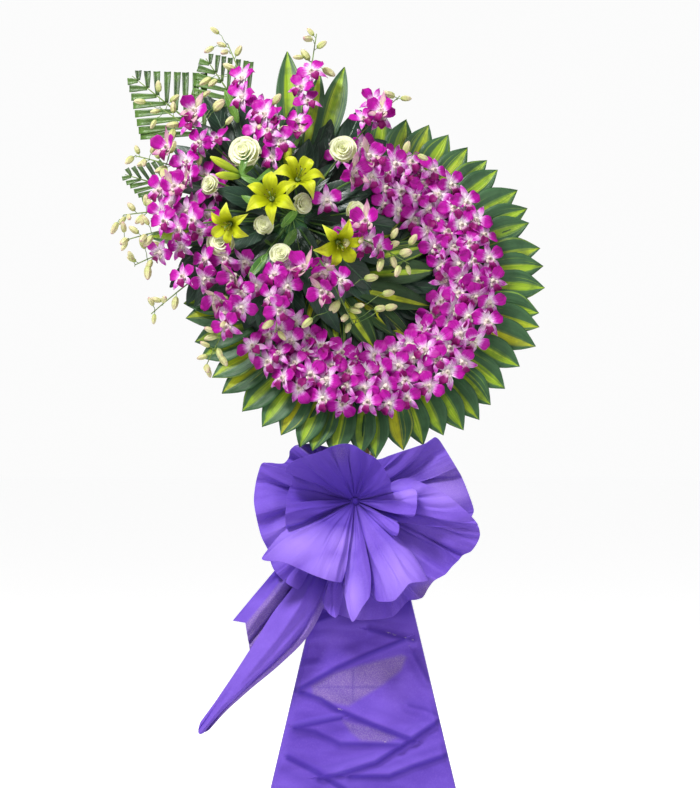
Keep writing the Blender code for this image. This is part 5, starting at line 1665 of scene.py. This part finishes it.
def makeSkirt():
    bm = startSheet(skirt["wide"], skirt["long"])
    front = cloth["frontLayer"] + 0.0022
    back = cloth["frontLayer"] - 2 * cloth["lathThick"] - cloth["gap"] - 0.002

    def rule(across, along):
        height = skirt["hem"] + (skirt["top"] - skirt["hem"]) * along
        half = skirtHalf(height)
        flap = min(skirt["flap"], 0.42 * half)
        depth = front - back
        side = 1 if across > 0 else -1
        share = abs(across) / skirt["frontShare"]
        if share <= 1:
            walked = half * share
            x, y = toPixel(Vector((middle.x + side * walked, 0, height)))
            fold = lapPlay(x, y)[0]
            out = side * walked
            fold += 0.0050 * (0.5 + noise.noise(Vector((out * 6 + height * 5, height * 24 - out * 9, 7.7))))
            fold += 0.0014 * noise.noise(Vector((out * 16 + height * 10, height * 60, 3.1)))
            fade = min(1.0, max(0.3, (0.64 - height) / 0.10)) * min((half - walked) / 0.010, 1)
            return atHeight(side * walked, height, front + max(fold, 0) * fade)
        walked = (abs(across) - skirt["frontShare"]) / (1 - skirt["frontShare"]) * (depth + flap)
        if walked <= depth:
            bulge = 0.0015 * math.sin(math.pi * walked / depth)
            return atHeight(side * (half + bulge), height, front - walked)
        return atHeight(side * (half - walked + depth), height, back)

    made = clothPiece(shapeSheet(bm, rule), "skirtCloth", "skirt")

    def thinness(co):
        x, y = toPixel(co)
        return sheerness(x, y) if offFace(co) > front - 0.004 else 0.0

    # painted shade and deeper tones: the sides and back a set amount darker, the laths behind showing darker through
    # the sheer cloth, painted shade under the bow and along the laps, and darker towards the bottom
    def shadeAndDeepToneAt(co):
        x, y = toPixel(co)
        if offFace(co) < front - 0.004:
            return 0.35
        laths = max(1 - abs(x - 353) / 2.5, 1 - abs(y - 683) / 2.5) * 0.5 * sheerness(x, y)
        # painted shade under the bow
        shade = 0.55 * max(0.0, 1 - (y - 612) / 24)
        low = 0.16 * max(0.0, min(1.0, (y - 690) / 40))
        return min(1.0, max(lapPlay(x, y)[1], laths, shade) + low)

    def tornness(co):
        x, y = toPixel(co)
        if offFace(co) < front - 0.004:
            return 0.0
        away = min(math.hypot((x - cx) / r, (y - cy - 0.3 * (x - cx)) / (0.25 * r)) for cx, cy, r in skirt["torn"])
        return max(0.0, min(1.0, 0.9 * (1 - away)))

    setPaint(made, "thin", thinness)
    setPaint(made, "shadeAndDeepTone", shadeAndDeepToneAt)
    setPaint(made, "torn", tornness)
    return made


makeSkirt()
print("skirt wound")

bow = {
    "across": -0.0175,
    "up": -0.474,
    "off": 0.026,
    "backOff": -0.006,
    "gather": 0.0065,
    "shadeReach": 0.17,  # how far the painted shade, and the deeper tone of layers lying close together, reaches round the knot
    # single layers, the last in the back alone: how sheer, the pixel and the half widths
    "sheer": ((1, 432, 590, 24, 16), (0.8, 341, 452, 12, 14), (0.35, 450, 490, 34, 40)),
    # lobes that catch the light, by pixel, with their half widths
    "light": (
        (300, 540, 42, 24), (330, 562, 30, 18), (352, 592, 13, 34), (398, 568, 28, 32), (440, 494, 30, 16),
        (408, 490, 22, 14), (340, 540, 20, 16),
    ),
    "fine": 7,  # steps between two points of an edge
    "rings": 30,
    # edges in order: degrees round the knot, reach, and height off the knot; a fold turns back on itself
    "front": (
        (-183, 0.148, 0.018), (-178, 0.148, 0.044), (-170, 0.152, 0.054), (-162, 0.157, 0.044),
        (-158, 0.160, 0.018), (-156, 0.178, 0.034), (-150, 0.226, 0.064), (-147.5, 0.230, 0.076),
        (-140, 0.198, 0.086), (-130, 0.184, 0.092), (-120, 0.177, 0.096), (-111, 0.174, 0.096),
        (-104, 0.173, 0.086), (-99.5, 0.172, 0.068), (-101, 0.166, 0.044), (-107, 0.160, 0.022),
        (-109, 0.212, 0.022), (-106.5, 0.232, 0.034), (-103, 0.244, 0.048), (-100, 0.249, 0.054),
        (-98.5, 0.240, 0.042), (-99.5, 0.214, 0.020), (-97.5, 0.176, 0.036), (-96, 0.205, 0.060),
        (-91.5, 0.252, 0.080), (-86, 0.222, 0.086), (-81, 0.200, 0.078), (-82, 0.186, 0.050),
        (-84.5, 0.180, 0.020), (-80.5, 0.196, 0.028), (-77.5, 0.214, 0.060), (-73, 0.220, 0.080),
        (-68, 0.223, 0.088), (-62, 0.214, 0.090), (-56, 0.207, 0.088), (-51, 0.217, 0.082),
        (-47, 0.227, 0.068), (-48, 0.213, 0.044), (-51, 0.197, 0.022), (-45, 0.166, 0.014),
        (-42, 0.112, 0.042), (-38.5, 0.115, 0.060), (-33, 0.112, 0.066), (-28, 0.107, 0.056),
        (-26, 0.100, 0.036), (-24, 0.112, 0.012), (-17, 0.190, 0.020), (-13, 0.250, 0.036),
        (-11, 0.268, 0.050), (-8, 0.256, 0.058), (-2, 0.225, 0.058), (6, 0.190, 0.054),
        (15, 0.152, 0.048), (24, 0.122, 0.038), (22, 0.108, 0.018), (8, 0.104, 0.010),
        (-8, 0.104, 0.012), (-16, 0.118, 0.036), (-13.5, 0.130, 0.060), (-7, 0.132, 0.070),
        (2, 0.133, 0.072), (9, 0.134, 0.064), (12.5, 0.126, 0.042),
        (10, 0.112, 0.022), (14, 0.084, 0.036), (20, 0.082, 0.062), (30, 0.088, 0.082),
        (43, 0.092, 0.096), (55, 0.098, 0.094), (66, 0.104, 0.104), (78, 0.108, 0.098),
        (89, 0.119, 0.106), (96, 0.125, 0.100), (104, 0.128, 0.106), (113, 0.129, 0.096),
        (122, 0.130, 0.100), (133, 0.139, 0.092), (145, 0.156, 0.084), (153, 0.166, 0.068),
        (158, 0.160, 0.048), (156, 0.150, 0.030), (164, 0.142, 0.016), (171, 0.146, 0.012),
    ),
    "back": (
        (-180, 0.220, 0.006), (-172, 0.217, 0.018), (-165, 0.217, 0.006), (-158, 0.217, 0.020),
        (-150, 0.217, 0.008), (-145, 0.224, 0.018), (-139, 0.230, 0.024), (-130, 0.231, 0.012),
        (-122, 0.226, 0.024), (-116, 0.222, 0.008), (-110, 0.237, 0.022), (-104, 0.243, 0.010),
        (-99, 0.247, 0.002), (-93, 0.252, 0.012), (-87.5, 0.255, 0.022), (-80, 0.258, 0.014),
        (-72, 0.260, 0.026), (-66, 0.250, 0.012), (-62, 0.244, 0.004), (-58, 0.250, 0.014),
        (-54.5, 0.253, 0.018), (-50, 0.246, 0.008), (-45, 0.242, 0.022), (-39, 0.250, 0.030),
        (-34, 0.253, 0.016), (-30, 0.257, 0.030), (-26.5, 0.261, 0.020), (-23, 0.273, 0.038),
        (-18, 0.278, 0.054), (-15, 0.278, 0.064), (-12, 0.272, 0.072), (-10.5, 0.266, 0.062),
        (-12.5, 0.256, 0.032), (-8, 0.256, 0.006), (-4.5, 0.259, 0.004), (3, 0.248, 0.010),
        (12, 0.2385, 0.002), (18, 0.232, 0.010), (23.5, 0.228, 0.012), (30, 0.226, 0.006),
        (36, 0.2255, 0.020), (38.5, 0.220, 0.030), (37, 0.205, 0.008), (38.5, 0.200, 0.028),
        (44, 0.160, 0.034), (52, 0.125, 0.028), (60, 0.103, 0.016), (75, 0.095, 0.004),
        (90, 0.100, 0.000), (105, 0.112, 0.004), (115, 0.126, -0.002), (122, 0.140, -0.006),
        (128, 0.156, -0.008), (133, 0.166, -0.006), (135, 0.171, -0.002), (138, 0.177, 0.018),
        (142.5, 0.1785, 0.024), (147, 0.172, 0.004), (153, 0.176, 0.004), (156.5, 0.205, 0.016),
        (158.5, 0.218, 0.026), (164, 0.219, 0.014), (171, 0.2195, 0.000),
    ),
}


def edgePoint(edge, place):  # a smooth closed line through the edge's points
    count = len(edge)
    k = int(math.floor(place)) % count
    t = place - math.floor(place)
    points = []
    for i in (k - 1, k, k + 1, k + 2):
        degrees, reach, off = edge[i % count]
        turn = math.radians(degrees)
        points.append(Vector((reach * math.cos(turn), reach * math.sin(turn), off)))
    a, b, c, d = points
    pull = 0.45
    first, second = (c - a) * pull, (d - b) * pull
    rise = t * t * (3 - 2 * t)
    return b + (c - b) * rise + first * (t * (1 - t) ** 2) - second * (t * t * (1 - t))


def makeGathered(name, node, edge, base, seed):
    bm = startSheet(len(edge) * bow["fine"], bow["rings"])
    mean = sum(off for degrees, reach, off in edge) / len(edge)

    def rule(across, along):
        place = (across + 1) / 2 * len(edge)
        end = edgePoint(edge, place if place < len(edge) else 0)
        out = math.hypot(end.x, end.y)
        turn = math.atan2(end.y, end.x)
        loop = 2 * math.pi * place / len(edge)
        ring = Vector((math.cos(loop), math.sin(loop), 0)) * len(edge) / 8
        turn += 0.20 * noise.noise(ring * 1.1 + Vector((0, 0, seed + along))) * math.sin(math.pi * along)
        r = bow["gather"] + (out - bow["gather"]) * along
        off = base + mean * along**1.2 + (end.z - mean) * along**0.62
        point = Vector((r * math.cos(turn), r * math.sin(turn), 0))
        pinch = math.sin(turn * 17 + 2 * math.sin(turn * 4)) * math.sin(math.pi * min(along * 2.0, 1)) * 0.0014
        crumple = noise.noise(Vector((point.x * 22, point.y * 22, seed))) * 0.0050
        crumple += noise.noise(ring * 2.2 + Vector((0, 0, along * 1.4 + seed + 4))) * 0.0050
        crumple += noise.noise(ring * 6 + Vector((0, 0, along * 5 + seed + 8))) * 0.0007
        off += pinch + crumple * min(along * 3, 1)
        return seen(bow["across"] + point.x, bow["up"] + point.y, off)

    made = clothPiece(shapeSheet(bm, rule), name, node)
    knot = seen(bow["across"], bow["up"], 0)

    # painted shade round the knot, deepest at its middle
    def shadeAndDeepToneAt(co):
        far = math.hypot(co.x - knot.x, co.z - knot.z)
        turn = math.atan2(co.z - knot.z, co.x - knot.x)
        upper = 0.5 + 0.5 * math.cos(turn - 2.2)  # painted shade reaches furthest above and to the left, where the layers lie closest
        reach = bow["shadeReach"] * (0.40 + 1.0 * upper)
        return max(0.0, 1 - far / reach) ** (1.1 - 0.5 * upper)

    setPaint(made, "shadeAndDeepTone", shadeAndDeepToneAt)

    def lightness(co):
        x, y = toPixel(co)
        spots = (math.hypot((x - cx) / rx, (y - cy) / ry) for cx, cy, rx, ry in bow["light"])
        return max(0.0, 1 - min(spots)) ** 0.8

    setPaint(made, "light", lightness)

    def thinness(co):
        value = 0.5 + noise.noise(Vector((co.x * 7, co.z * 7, seed + 2)))
        x, y = toPixel(co)
        spots = bow["sheer"] if name == "bowBack" else bow["sheer"][:2]
        side = max(0.0, *(most * (1 - math.hypot((x - cx) / rx, (y - cy) / ry)) for most, cx, cy, rx, ry in spots))
        return max(0.0, min(1.0, side * 1.6 + 0.12 * value))

    setPaint(made, "thin", thinness)
    return made


makeGathered("bowFront", "bow_front", bow["front"], bow["off"], 1.5)
makeGathered("bowBack", "bow_back", bow["back"], bow["backOff"], 6.5)
print("bow gathered")

tails = {
    "long": (
        (-0.092, -0.628, 0.030, 0.000), (-0.122, -0.686, 0.040, 0.010), (-0.158, -0.740, 0.0445, 0.018),
        (-0.205, -0.798, 0.036, 0.020), (-0.260, -0.860, 0.0235, 0.014), (-0.308, -0.915, 0.0155, 0.009),
        (-0.351, -0.968, 0.0125, 0.004),
    ),
    "short": (
        (-0.118, -0.585, 0.024, -0.022), (-0.153, -0.627, 0.030, -0.018), (-0.196, -0.686, 0.036, -0.014),
        (-0.241, -0.740, 0.036, -0.012),
    ),
    "fine": 14,
    "wide": 40,
}


def makeTail(name, node, stations, roll, seed, hem, thinRule):
    last = len(stations) - 1
    bm = startSheet(tails["wide"], last * tails["fine"])
    thin = bm.verts.layers.float.new("thin")
    for v in bm.verts:
        v[thin] = thinRule(v.co.x, v.co.y)

    def station(place):
        values = []
        for part in range(4):
            values.append(readCurve([(k / last, row[part]) for k, row in enumerate(stations)], place))
        return values

    def rule(across, along):
        x, y, half, off = station(along)
        before, after = station(max(along - 0.02, 0)), station(min(along + 0.02, 1))
        run = Vector((after[0] - before[0], after[1] - before[1])).normalized()
        side = Vector((-run.y, run.x))
        rise = roll * half * (1 - across * across)
        crest = across + 0.25 - 0.3 * along
        rise += 0.30 * half * math.exp(-((crest / 0.22) ** 2)) * (1 - 0.5 * along)
        rise -= 0.35 * half * math.exp(-(((across - 0.62) / 0.12) ** 2)) * min(1.0, along * 3)
        waver = noise.noise(Vector((across * 2.5, along * 6, seed)))
        rise += 0.003 * math.sin(across * 6 + along * 5 + seed) + 0.003 * waver
        end = run * hem(across) * max(0.0, along - 0.75) / 0.25
        return seen(x + side.x * half * across + end.x, y + side.y * half * across + end.y, off + rise)

    made = clothPiece(shapeSheet(bm, rule), name, node)
    # painted shade at the top of each tail, under the bow
    setPaint(made, "shadeAndDeepTone", lambda co: 0.8 * max(0.0, 1 - (seen(0, bow["up"] - 0.16, 0).z - co.z) / 0.06))
    return made


def longTailThin(across, along):  # the turned-under edge is one sheer layer
    return 0.75 * max(0.0, min(1.0, (across - 0.62) / 0.12)) * min(1.0, 4 * along) + 0.06


def shortTailThin(across, along):
    return 0.95 * max(0.0, min(1.0, (across + 0.35) / 0.12))


def notchedHem(across):
    return 0.005 + (0.015 * (-0.35 - across) / 0.65 if across < -0.35 else 0.042 * (across + 0.35) / 1.35)


makeTail("tailLong", "bow_tail_long", tails["long"], 0.6, 2.2, lambda x: -0.020 * x * x, longTailThin)
makeTail("tailShort", "bow_tail_short", tails["short"], 0.35, 5.1, notchedHem, shortTailThin)


def makeKnot():
    offs = (-0.027, 0.0, bow["off"] - 0.002, bow["off"] + 0.004, bow["off"] + 0.009, bow["off"] + 0.011)
    radii = (0.0100, 0.0100, 0.0095, 0.0080, 0.0055, 0.0020)
    body = rolledTube([seen(bow["across"], bow["up"], off) for off in offs], radii, 36)
    heart = seen(bow["across"], bow["up"], 0)
    for v in body.verts:  # gathered: fine pleats round the band
        turn = math.atan2(v.co.z - heart.z, v.co.x - heart.x)
        v.co.x = heart.x + (v.co.x - heart.x) * (1 + 0.14 * math.sin(turn * 9))
        v.co.z = heart.z + (v.co.z - heart.z) * (1 + 0.14 * math.sin(turn * 9))
    whole = newWhole()
    addPart(whole, painted(body, 0))
    made = finishPiece(whole, "knot", [purpleCloth], ["bow_knot"], 1)
    setPaint(made, "thin", lambda co: 0.0)
    # the whole knot in painted shade
    setPaint(made, "shadeAndDeepTone", lambda co: 1.0)


makeKnot()
print("cloth finished")


# Floor, light and camera

stage = {
    "distance": 7.0,
    "width": 700,
    "height": 788,
    "floor": tone(0.96, 0.96, 0.96),
    "room": 0.46,  # light from all round
    "behind": 0.97,  # how pale the room looks
    "glow": 0.54,  # lifts the floor to the room's tone
    "lit": (0.05, -0.05, 1.1),  # what the lamps point at
    # each lamp: its place, size and power
    "lamps": {
        "key": ((-1.7, -2.1, 4.3), 1.2, 185),
        "fill": ((2.2, -3.6, 1.6), 2.4, 24),
        "back": ((0.4, 2.8, 2.8), 2.0, 60),
    },
}


def makeStage():
    bm = bmesh.new()
    bmesh.ops.create_grid(bm, x_segments=1, y_segments=1, size=30)
    mesh = asMesh(bm, "floor")
    floor = bpy.data.objects.new("floor", mesh)
    bpy.context.scene.collection.objects.link(floor)
    material, tree, shader = newMaterial("floor", 0.9)
    shader.inputs["Base Color"].default_value = stage["floor"]
    shader.inputs["Emission Color"].default_value = (1, 1, 1, 1)
    glow = times(tree, tree.nodes.new("ShaderNodeLightPath").outputs["Is Camera Ray"], stage["glow"])
    tree.links.new(glow, shader.inputs["Emission Strength"])
    mesh.materials.append(material)

    world = bpy.data.worlds.new("paleRoom")
    world.use_nodes = True
    tree = world.node_tree
    seenRay = tree.nodes.new("ShaderNodeLightPath").outputs["Is Camera Ray"]
    tree.nodes["Background"].inputs[0].default_value = (1, 1, 1, 1)
    tree.links.new(
        work(tree, "MULTIPLY_ADD", seenRay, stage["behind"] - stage["room"], stage["room"]),
        tree.nodes["Background"].inputs[1],
    )
    bpy.context.scene.world = world

    for name, (place, size, power) in stage["lamps"].items():
        lamp = bpy.data.lights.new(name, "AREA")
        lamp.shape = "DISK"
        lamp.size = size
        lamp.energy = power
        made = bpy.data.objects.new(name, lamp)
        bpy.context.scene.collection.objects.link(made)
        made.location = place
        made.rotation_euler = (Vector(stage["lit"]) - Vector(place)).to_track_quat("-Z", "Y").to_euler()


def makeCamera():
    scale = wreath["metresPerPixel"]
    x = middle.x + (stage["width"] / 2 - wreath["middlePixel"][0]) * scale
    z = middle.z + (wreath["middlePixel"][1] - stage["height"] / 2) * scale
    lens = bpy.data.cameras.new("camera")
    lens.sensor_fit = "HORIZONTAL"
    lens.sensor_width = 36
    lens.lens = 36 * stage["distance"] / (stage["width"] * scale)
    lens.clip_end = 60
    made = bpy.data.objects.new("camera", lens)
    bpy.context.scene.collection.objects.link(made)
    made.location = (x, middle.y - 0.06 - stage["distance"], z)
    made.rotation_euler = (math.pi / 2, 0, 0)
    bpy.context.scene.camera = made
    bpy.context.scene.view_settings.view_transform = "Standard"  # the colours above, as they are


makeStage()
makeCamera()
print("stage, lights and camera set")
